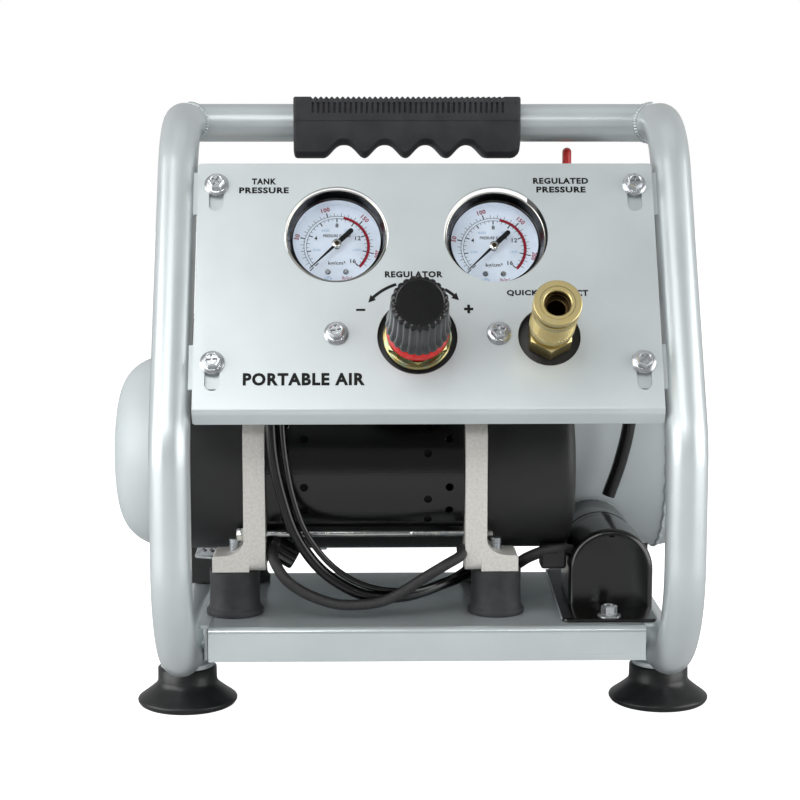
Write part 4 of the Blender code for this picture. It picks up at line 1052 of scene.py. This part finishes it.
def tank():
    """The shell with flattened oval ends, its weld seams, saddles and ports."""
    low, high = box("tank_shell")
    left_seam = low.x + DOME_DEPTH
    right_seam = high.x - DOME_DEPTH
    steps = 28
    dome = []
    for i in range(steps):
        angle = pi / 2 * i / steps
        dome.append((TANK_RADIUS * cos(angle) ** 0.42, DOME_DEPTH * sin(angle) ** 1.15))
    dome.append((0.0012, DOME_DEPTH))
    profile = [(r, right_seam + along) for r, along in reversed(dome)]
    profile += [(r, left_seam - along) for r, along in dome]
    axis = at(0, TANK_Y, TANK_Z, ALONG_X)
    piece(lathe("tank_body", profile, axis, 128), "tank_paint", "tank_shell")
    for index, x in enumerate((left_seam, right_seam)):
        ring = [(x + 0.0004 * sin(31 * t) * index, TANK_Y + TANK_RADIUS * cos(t),
            TANK_Z + TANK_RADIUS * sin(t)) for t in around(480)]
        weld = sweep(f"tank_weld_{index}", ring, bead(0.0011, 96), 8, True)
        piece(weld, "silver_paint", smooth=60)
    seam = [(left_seam + (right_seam - left_seam) * i / 80, TANK_Y + TANK_RADIUS * 0.9,
        TANK_Z - TANK_RADIUS * 0.436) for i in range(81)]
    piece(sweep("tank_long_weld", seam, bead(0.001, 60), 8), "silver_paint")
    for side in (-1, 1):
        saddle(side)
    for index, (x, turn) in enumerate(((-0.06, 1), (middle("drain_valve").x, -1))):
        height = TANK_Z + turn * TANK_RADIUS
        boss = [(0.0085, -0.003 * turn), (0.0085, 0.0012 * turn), (0.0078, 0.0019 * turn),
            (0.0042, 0.0019 * turn), (0.0042, -0.003 * turn)]
        piece(lathe(f"tank_boss_{index}", boss, at(x, TANK_Y, height), 48, loop=True), "silver_paint")


def saddle(side):
    """A folded strap under the tank, on the bottom rail."""
    half = 0.026
    thin = 0.0025
    low_z = 0.0462

    def under(y):
        return TANK_Z - math.sqrt(TANK_RADIUS ** 2 - y * y) + 0.0005

    outline = [(-half, low_z), (half, low_z), (half, under(half)), (half - thin, under(half - thin)),
        (half - thin, low_z + thin), (thin - half, low_z + thin), (thin - half, under(half - thin)),
        (-half, under(half))]
    made = flat(f"tank_saddle_{side + 1}", [outline], 0.018, at(side * 0.137, TANK_Y, 0, SIDEWAYS))
    piece(ease(made, 0.0007), "satin_black")
    for index, end in enumerate((-1, 1)):
        seam = [(side * 0.137 - 0.008 + 0.016 * i / 24, TANK_Y + end * (half + 0.0005),
            under(half) + 0.0004) for i in range(25)]
        piece(sweep(f"saddle_weld_{side + 1}_{index}", seam, bead(0.0014, 9), 8), "silver_paint")


def drain():
    low, high = box("drain_valve")
    body = [(0.006, high.z), (0.0065, high.z - 0.0006), (0.0065, high.z - 0.0066),
        (0.0052, high.z - 0.009), (0.0048, high.z - 0.0095), (0.005, low.z + 0.0006), (0.0046, low.z)]
    place = at(middle("drain_valve").x, TANK_Y, 0)
    piece(lathe("drain_cock", body, place, 48), "brass", "drain_valve")
    low, high = box("drain_key")
    body = [(0.0042, high.z), (0.0045, high.z - 0.0004), (0.0045, high.z - 0.0038),
        (0.0025, high.z - 0.005), (0.0025, low.z + 0.0004), (0.002, low.z)]
    stem = lathe("stem", body, place, 32)
    wing_path = rounded_path([(-0.009, -0.003, 0), (0.009, -0.003, 0), (0.009, 0.003, 0),
        (-0.009, 0.003, 0)], 0.0024, 5, True)
    wing = ease(flat("wing", [wing_path], 0.002, place @ at(0, 0, low.z + 0.0055, FACING)), 0.0005)
    piece(join("drain_tap", [stem, wing]), "zinc", "drain_key", body="drain_key")


# ---------------------------------------------------------------- pump

def motor():
    low, high = box("motor_shell")
    axis = at(0, PUMP_Y, PUMP_Z, ALONG_X)
    shell = [(SHELL_RADIUS - 0.0015, high.x), (SHELL_RADIUS, high.x), (SHELL_RADIUS, low.x),
        (SHELL_RADIUS - 0.0015, low.x)]
    made = lathe("motor_can", shell, axis, 160, loop=True)
    hole = 0.00225
    outer_column = (33.6, 14.9, -15.3, -30.7)
    inner_column = (24.3, -7.0, -23.2)
    cutters = []
    for x, column in ((0.0011, outer_column), (0.013, inner_column), (-0.0677, inner_column),
            (-0.0782, outer_column)):
        for degrees in column:
            for back in (0, 180):
                turn = Matrix.Rotation(radians(90 - degrees + back), 4, "X")
                cutters.append(lathe("hole", [(hole, 0.06), (hole, 0.04)], at(x, PUMP_Y, PUMP_Z) @ turn,
                    20))
    made = cut(made, cutters)
    piece(ease(made, 0.0002, 1), "gloss_black", "motor_shell")
    for index, degrees in enumerate((2.2, 182.2)):
        spot = Vector((0, -cos(radians(degrees)), sin(radians(degrees))))
        spot = spot * SHELL_RADIUS + Vector((0, PUMP_Y, PUMP_Z))
        seam = [(x, spot.y, spot.z) for x in (low.x, high.x)]
        piece(sweep(f"can_seam_{index}", seam, 0.00035, 8), "dark_steel")
    # the stator is near black: painted shade seen through the shell's holes
    for node, look in (("motor_stator", "painted_shade_black"), ("motor_rotor", "steel"),
            ("left_piston", "cast_aluminium"), ("right_piston", "cast_aluminium")):
        carried = frame["nodes"][node]
        carried.data.materials.clear()
        carried.data.materials.append(FINISHES[look])


def end_plate(name, side):
    """A rough cast plate with gusseted ears over the rubber mounts."""
    low, high = box(name)
    inner_x = high.x if side < 0 else low.x
    outer_x = inner_x + side * 0.012
    tip_x = low.x if side < 0 else high.x
    body_low, body_high = sorted((inner_x, outer_x))
    corners = [(low.y, low.z, 0), (high.y, low.z, 0), (high.y, 0.165, 0), (high.y - 0.022, high.z, 0),
        (low.y + 0.022, high.z, 0), (low.y, 0.165, 0)]
    plate = flat(name, [rounded_path(corners, 0.006, 5, True)], body_high - body_low,
        at((body_low + body_high) / 2, 0, 0, SIDEWAYS))
    ears = []
    ear_top = low.z + 0.009
    for mount in ("front", "rear"):
        y = middle(f"{mount}_{name.split('_')[0]}_mount").y
        gusset = [(outer_x + side * (0.012 - 0.012 * sin(pi / 2 * i / 8)),
            ear_top + 0.0085 * (1 - cos(pi / 2 * i / 8))) for i in range(9)]
        ear = [(outer_x - side * 0.003, low.z), (tip_x, low.z), (tip_x, ear_top - 0.0012),
            (tip_x - side * 0.0012, ear_top), *gusset, (outer_x - side * 0.003, ear_top + 0.0085)]
        ears.append(flat(f"ear_{mount}", [ear], 0.026, at(0, y, 0, FACING)))
    made = cut(plate, ears, "UNION")
    made.name = f"{name}_casting"
    piece(ease(made, 0.0011, 3), "cast_aluminium", name)


def fan_cover(name, side):
    """A deep round cover with a ringed grille in its end."""
    low, high = box(name)
    start = low.x if side > 0 else high.x
    turn = ALONG_X if side > 0 else ALONG_X.inverted()
    length = high.x - low.x
    place = at(start, PUMP_Y, PUMP_Z, turn)
    radius = COVER_RADIUS
    profile = [(0.018, length - 0.0004), (0.0184, length), (radius - 0.008, length),
        (radius - 0.0045, length - 0.0008), (radius - 0.0018, length - 0.0028),
        (radius - 0.0005, length - 0.0058), (radius, length - 0.01), (radius, 0.0002),
        (radius - 0.002, 0.0002), (radius - 0.002, length - 0.009), (radius - 0.008, length - 0.002),
        (0.018, length - 0.002)]
    made = lathe(f"{name}_shell", profile, place, 128, loop=True)
    cylinder_x = middle(f"{name.split('_')[0]}_cylinder").x
    notch_place = at(cylinder_x, PUMP_Y, PUMP_Z + radius)
    made = cut(made, [lathe("notch", [(0.012, 0.02), (0.012, -0.02)], notch_place, 40)])
    piece(made, "cover_black", name)
    bar = 0.0012
    deep = -0.0018
    front = place @ at(0, 0, length - 0.0002)
    rings = [lathe(f"ring_{i}", [(reach, 0), (reach + bar, 0), (reach + bar, deep), (reach, deep)],
        front, 64, loop=True) for i, reach in enumerate((0.005, 0.011))]
    rings += [block(f"spoke_{i}", (0.005, -0.0009, deep), (0.0185, 0.0009, 0),
        front @ Matrix.Rotation(pi * i / 3, 4, "Z")) for i in range(6)]
    piece(join(f"{name}_grille", rings), "cover_black")


def cylinder_head(name):
    """A finned cylinder under a bolted head."""
    low, high = box(name)
    centre = middle(name)
    fins = [(0.0192, low.z), (0.0205, low.z)]
    count = 5
    fin_top = high.z - 0.011
    pitch = (fin_top - low.z) / count
    for i in range(count):
        base = low.z + pitch * i
        fins += [(0.0205, base + pitch * 0.35), (0.0233, base + pitch * 0.45),
            (0.0233, base + pitch * 0.85), (0.0205, base + pitch * 0.95)]
    fins += [(0.0205, fin_top), (0.0192, fin_top)]
    barrel = lathe("barrel", fins, at(centre.x, centre.y, 0), 96, loop=True)
    half = 0.0205
    rim = rounded_path([(-half, -half, 0), (half, -half, 0), (half, half, 0), (-half, half, 0)], 0.006,
        6, True)
    head = ease(flat("head", [rim], high.z - 0.002 - fin_top, at(centre.x, centre.y,
        (high.z - 0.002 + fin_top) / 2)), 0.0012, 3)
    ribs = [ease(block(f"rib_{i}", (-0.015, -0.0009, 0), (0.015, 0.0009, 0.0026),
        at(centre.x, centre.y + 0.006 * (i - 1), high.z - 0.0028)), 0.0005) for i in range(3)]
    piece(join(f"{name}_casting", [barrel, head, *ribs]), "cast_aluminium", name)
    for index in range(4):
        angle = pi / 4 + pi / 2 * index
        place = at(centre.x + 0.0215 * cos(angle), centre.y + 0.0215 * sin(angle),
            high.z - 0.003)
        bolt = hexagon(f"{name}_bolt_{index}", [(0.0026, 0.0028), (0.003, 0.0024), (0.003, 0)], place)
        piece(ease(bolt, 0.0002), "zinc")


def thread(radius, low, high, pitch=0.0008):
    """Profile of a threaded end, from high to low."""
    profile = []
    turns = int((high - low) / pitch)
    for i in range(turns):
        top = high - pitch * i
        profile += [(radius - 0.0004, top), (radius, top - pitch * 0.35), (radius, top - pitch * 0.6)]
    return profile + [(radius - 0.0004, low)]


def tie_rod():
    low, high = box("tie_rod")
    centre = middle("tie_rod")
    right_face = box("right_end_plate")[0].x
    left_face = box("left_end_plate")[1].x - 0.012
    place = at(0, centre.y, centre.z, ALONG_X)
    profile = thread(0.002, right_face - 0.03, high.x) + [(0.002, right_face - 0.031),
        (0.002, left_face)]
    head = [(0.0042, left_face - 0.0003), (0.0042, low.x + 0.0004), (0.0038, low.x)]
    rod = lathe("rod", profile, place, 32)
    cap = hexagon("cap", head, place)
    piece(join("through_bolt", [rod, ease(cap, 0.0002)]), "zinc", "tie_rod")


def rubber_mount(name):
    low, high = box(name)
    centre = middle(name)
    top = low.z + 0.0252
    place = at(centre.x, centre.y, 0)
    body = [(0.0136, top), (0.014, top - 0.0004), (0.0141, top - 0.0012), (0.0139, top - 0.01),
        (0.0142, low.z + 0.005), (0.015, low.z + 0.0034), (0.0158, low.z + 0.0026),
        (0.016, low.z + 0.0018), (0.0158, low.z + 0.0002), (0.015, low.z)]
    piece(lathe(f"{name}_rubber", body, place, 64), "black_rubber", name)
    stud = thread(0.003, top, high.z + 0.002)
    piece(lathe(f"{name}_stud", stud, place, 32), "bright_zinc")


# ---------------------------------------------------------------- electrics, cables and tubes

def capacitor():
    low = box("capacitor")[0]
    centre = middle("capacitor")
    radius = 0.023
    half = 0.0465
    place = at(centre.x, low.y + half, centre.z, ALONG_Y)
    profile = [(radius - 0.0024, half), (radius - 0.002, half), (radius - 0.0006, half - 0.0006),
        (radius, half - 0.0018), (radius, 0.004), (radius - 0.0003, 0.0036),
        (radius - 0.0003, -half + 0.002), (radius - 0.0012, -half + 0.0006), (radius - 0.0022, -half)]
    piece(lathe("capacitor_can", profile, place, 96), "gloss_black", "capacitor")
    band = [(radius + 0.0003, half - 0.001), (radius + 0.0003, half - 0.004),
        (radius - 0.0008, half - 0.004), (radius - 0.0008, half - 0.001)]
    piece(lathe("capacitor_band", band, place, 96, loop=True), "galvanised")


def capacitor_cover():
    """A glossy arched boot with a rolled front rim, screwed down by its flange."""
    centre_x = middle("capacitor").x
    outer = 0.0238
    level = middle("capacitor").z
    floor = PLATE_TOP + 0.0003
    front = -0.0935
    back = -0.0515
    fillet = 0.0034

    def outline(inset, y):
        reach = outer - inset
        arc = [(centre_x + reach * cos(pi * i / 32), y,
            level + reach * sin(pi * i / 32)) for i in range(33)]
        return [(centre_x + reach, y, floor), *arc, (centre_x - reach, y, floor)]

    rings = [outline(0.0012, back), outline(0.0, back - 0.0006)]
    for i in range(7):
        angle = pi / 2 * i / 6
        rings.append(outline(fillet * (1 - cos(angle)), front + fillet * (1 - sin(angle))))
    boot = loft("boot", rings)
    flange_rim = rounded_path([(0.0745, -0.1215, 0), (0.127, -0.1215, 0), (0.127, 0.006, 0),
        (0.0775, 0.006, 0)], 0.004, 6, True)
    flange = flat("flange", [flange_rim], 0.0015, at(0, 0, floor + 0.00075))
    slot = block("slot", (centre_x - 0.0015, front - 0.0006, level + outer - 0.0045),
        (centre_x + 0.0015, front + 0.003, level + outer - 0.003))
    boot = cut(boot, [slot])
    made = join("capacitor_boot", [boot, ease(flange, 0.0005)])
    piece(made, "gloss_black", "capacitor_cover")
    edge = [(0.0745, -0.118, floor + 0.0012), (0.0775, 0.004, floor + 0.0012)]
    piece(sweep("boot_sheet_edge", edge, 0.0005, 8), "silver_paint")
    cross_screw("boot_screw", at(0.1012, -0.113, floor + 0.0012))


def cables():
    """Twin leads from behind the panel, the sleeved lead, and the short lead to the capacitor."""
    leads = (
        (0.0031, "hose_black", (
            (-0.086, -0.104, 0.2), (-0.0855, -0.107, 0.172), (-0.0838, -0.108, 0.15),
            (-0.079, -0.108, 0.128), (-0.072, -0.108, 0.108), (-0.06, -0.108, 0.0905),
            (-0.045, -0.108, 0.079), (-0.03, -0.108, 0.0735), (-0.01, -0.104, 0.073),
            (0.013, -0.092, 0.078), (0.03, -0.07, 0.079))),
        (0.0017, "gloss_black", (
            (-0.08, -0.105, 0.2), (-0.0795, -0.108, 0.172), (-0.0776, -0.109, 0.15),
            (-0.0735, -0.109, 0.129), (-0.0665, -0.109, 0.11), (-0.055, -0.109, 0.094),
            (-0.041, -0.109, 0.0832), (-0.025, -0.108, 0.0775), (-0.005, -0.104, 0.0762),
            (0.015, -0.09, 0.08), (0.03, -0.068, 0.085))),
        (0.003, "braid_and_painted_sheen", (
            (-0.085, -0.09, 0.1), (-0.0848, -0.106, 0.095), (-0.0783, -0.113, 0.0853),
            (-0.0701, -0.113, 0.0785), (-0.0591, -0.113, 0.0733), (-0.0481, -0.113, 0.0703),
            (-0.0342, -0.113, 0.0703), (-0.0232, -0.113, 0.0725), (-0.0121, -0.113, 0.0781),
            (-0.001, -0.113, 0.0854), (0.01, -0.113, 0.0921), (0.019, -0.108, 0.0965),
            (0.02, -0.1, 0.099))),
        (0.0032, "braid_and_painted_sheen", (
            (0.044, -0.07, 0.08), (0.0509, -0.075, 0.083), (0.0583, -0.082, 0.0895),
            (0.0679, -0.085, 0.094), (0.0764, -0.085, 0.095), (0.085, -0.08, 0.093))),
    )
    for index, (radius, look, points) in enumerate(leads):
        made = sweep(f"lead_{index}", smooth_path(points, 10), radius, 20)
        nodes = ["motor_cord"] if index == 0 else []
        piece(made, look, *nodes)
    gland = [(0.0062, 0.008), (0.0068, 0.0072), (0.0068, -0.004), (0.009, -0.005), (0.009, -0.009),
        (0.006, -0.01)]
    tilt = Matrix.Rotation(radians(120), 4, "Y")
    piece(lathe("lead_gland", gland, at(-0.08, -0.088, 0.095, tilt), 40), "gloss_black")
    socket = ease(block("lead_socket", (0.0655, -0.088, 0.084), (0.08, -0.074, 0.0965)), 0.0018, 3)
    piece(socket, "satin_black")


def tubes():
    """The copper discharge tube with its nuts, and the relief hose with its open end."""
    head = middle("left_cylinder")
    run_z = 0.2175
    path = rounded_path([(head.x, PUMP_Y + 0.0238, run_z), (head.x, TANK_Y, run_z),
        (-0.06, TANK_Y, run_z), (-0.06, TANK_Y, TANK_Z + TANK_RADIUS)], 0.014, 10)
    piece(sweep("copper_tube", path, 0.0035, 24), "copper", "discharge_tube")
    for index, place in enumerate((at(head.x, PUMP_Y + 0.026, run_z, ALONG_Y),
            at(-0.06, TANK_Y, TANK_Z + TANK_RADIUS + 0.004))):
        nut = hexagon(f"tube_nut_{index}", [(0.007, 0.005), (0.007, -0.003)], place)
        piece(ease(nut, 0.0005), "brass")
    points = ((0.101, -0.005, 0.237), (0.104, -0.008, 0.218), (0.119, -0.0115, 0.201),
        (0.1262, -0.012, 0.18), (0.125, -0.012, 0.156), (0.12, -0.012, 0.133), (0.113, -0.012, 0.112))
    hose = sweep("bleed_hose", smooth_path(points, 10), 0.004, 28)
    end = Vector(points[-1])
    back = (Vector(points[-2]) - end).normalized()
    bore = lathe("bore", [(0.0024, 0.012), (0.0024, -0.004)],
        Matrix.Translation(end) @ back.to_track_quat("Z", "Y").to_matrix().to_4x4(), 24)
    piece(cut(hose, [bore]), "hose_black", "relief_hose")


def small_bracket():
    """A zinc angle with two holes, standing on the tray, and a clip on the motor shell."""
    rim = [(0, 0, 0), (0.018, 0, 0), (0.018, 0.011, 0), (0, 0.011, 0)]
    holes = [circle(x, 0.0055, 0.0013, 20) for x in (0.0055, 0.0105)]
    corner = at(-0.1375, -0.004, 0.0735, Matrix.Rotation(radians(-20), 4, "Z"))
    plate = flat("plate", [rounded_path(rim, 0.0012, 3, True), *holes], 0.0015,
        corner @ Matrix.Rotation(radians(42), 4, "X"))
    leg = block("leg", (0.0125, -0.0008, PLATE_TOP - 0.0736), (0.0178, 0.0007, 0.0008), corner)
    made = join("earth_bracket", [ease(plate, 0.0003), ease(leg, 0.0003)])
    piece(made, "bright_zinc")
    clip = ease(block("shell_clip", (-0.062, -0.056, 0.0888), (-0.056, -0.046, 0.095)), 0.0008)
    piece(clip, "galvanised")


# ---------------------------------------------------------------- build

hoop(-1, "left_hoop")
hoop(1, "right_hoop")
handle_bar()
handle_grip()
for foot_name in ("front_left_foot", "front_right_foot", "rear_left_foot", "rear_right_foot"):
    rubber_foot(foot_name)
base_plate()
control_panel()
panel_print()
panel_screws()
gauge("tank_gauge", "tank_needle", GAUGE_X[0], GAUGE_RECESS[0])
gauge("outlet_gauge", "outlet_needle", GAUGE_X[1], GAUGE_RECESS[1])
regulator()
coupler()
manifold()
pressure_switch()
safety_valve()
tank()
drain()
motor()
for plate_side, plate_name in ((-1, "left"), (1, "right")):
    end_plate(f"{plate_name}_end_plate", plate_side)
    fan_cover(f"{plate_name}_fan_cover", plate_side)
    cylinder_head(f"{plate_name}_cylinder")
    rubber_mount(f"front_{plate_name}_mount")
    rubber_mount(f"rear_{plate_name}_mount")
tie_rod()
capacitor()
capacitor_cover()
cables()
tubes()
small_bracket()

# ---------------------------------------------------------------- studio

WORLD_FRONT = 0.2               # brightness of the surroundings in front and behind
WORLD_BACK = 0.5
FLOOR_HALF = 6


def studio():
    """A white floor, soft boxes at both sides, in front and overhead, and the camera."""
    scene = bpy.context.scene
    scene.view_settings.view_transform = "Standard"
    world = bpy.data.worlds.new("studio")
    scene.world = world
    world.use_nodes = True
    nodes = world.node_tree.nodes
    link = world.node_tree.links.new
    background = nodes["Background"]
    background.inputs["Color"].default_value = (1, 1, 1, 1)
    direction = add_node(nodes, "TexCoord")
    parts = add_node(nodes, "SeparateXYZ")
    link(direction.outputs["Generated"], parts.inputs["Vector"])
    backward = add_node(nodes, "MapRange", From_Min=-1.0, To_Min=WORLD_FRONT, To_Max=WORLD_BACK)
    link(parts.outputs["Y"], backward.inputs["Value"])
    seen = add_node(nodes, "LightPath")
    brighter = add_node(nodes, "Math")
    brighter.operation = "MAXIMUM"
    link(backward.outputs["Result"], brighter.inputs[0])
    link(seen.outputs["Is Camera Ray"], brighter.inputs[1])
    link(brighter.outputs["Value"], background.inputs["Strength"])

    floor = block("floor", (-FLOOR_HALF, -FLOOR_HALF, -0.02), (FLOOR_HALF, FLOOR_HALF, -0.0004))
    paper, nodes, link = new_material("paper")
    shader = nodes["Principled BSDF"]
    shader.inputs["Base Color"].default_value = (0.62, 0.62, 0.62, 1)
    shader.inputs["Roughness"].default_value = 0.9
    shader.inputs["Emission Color"].default_value = (1, 1, 1, 1)
    path = add_node(nodes, "LightPath")
    link(path.outputs["Is Camera Ray"], shader.inputs["Emission Strength"])
    floor.data.materials.append(paper)

    lights = (("left_box", (-1.15, -0.5, 0.4), 0.18, (1.3, 1.0), 13),
        ("right_box", (1.15, -0.5, 0.4), 0.18, (1.3, 1.0), 12),
        ("key_box", (-0.75, -1.5, 1.45), 0.18, (1.2, 0.9), 10),
        ("top_box", (0, -0.2, 1.7), 0.1, (1.4, 1.0), 1.3),
        ("front_fill", (-0.3, -2.2, 0.25), 0.12, (1.2, 0.8), 7.5),
        ("left_spot", (-0.125, -1.2, 0.95), 0.3, (0.06, 0.1), 0.4),
        ("right_spot", (0.215, -1.2, 0.95), 0.3, (0.06, 0.1), 0.5))
    for name, place, aim_height, size, power in lights:
        data = bpy.data.lights.new(name, "AREA")
        data.shape = "RECTANGLE"
        data.size, data.size_y = size
        data.energy = power
        lamp = bpy.data.objects.new(name, data)
        scene.collection.objects.link(lamp)
        lamp.location = HOME + Vector(place)
        lamp.visible_glossy = name != "front_fill"
        aim = Vector((0, 0, aim_height)) - Vector(place)
        lamp.rotation_euler = aim.to_track_quat("-Z", "Y").to_euler()

    camera_data = bpy.data.cameras.new("camera")
    camera_data.sensor_width = 36.0
    camera_data.lens = 85.65
    camera = bpy.data.objects.new("camera", camera_data)
    scene.collection.objects.link(camera)
    pitch = radians(7.626)
    yaw = radians(1.146)
    camera.location = HOME + Vector((-0.0353, -1.1409, 0.3219))
    camera.rotation_euler = (pi / 2 - pitch, 0.0, -yaw)
    scene.camera = camera


studio()
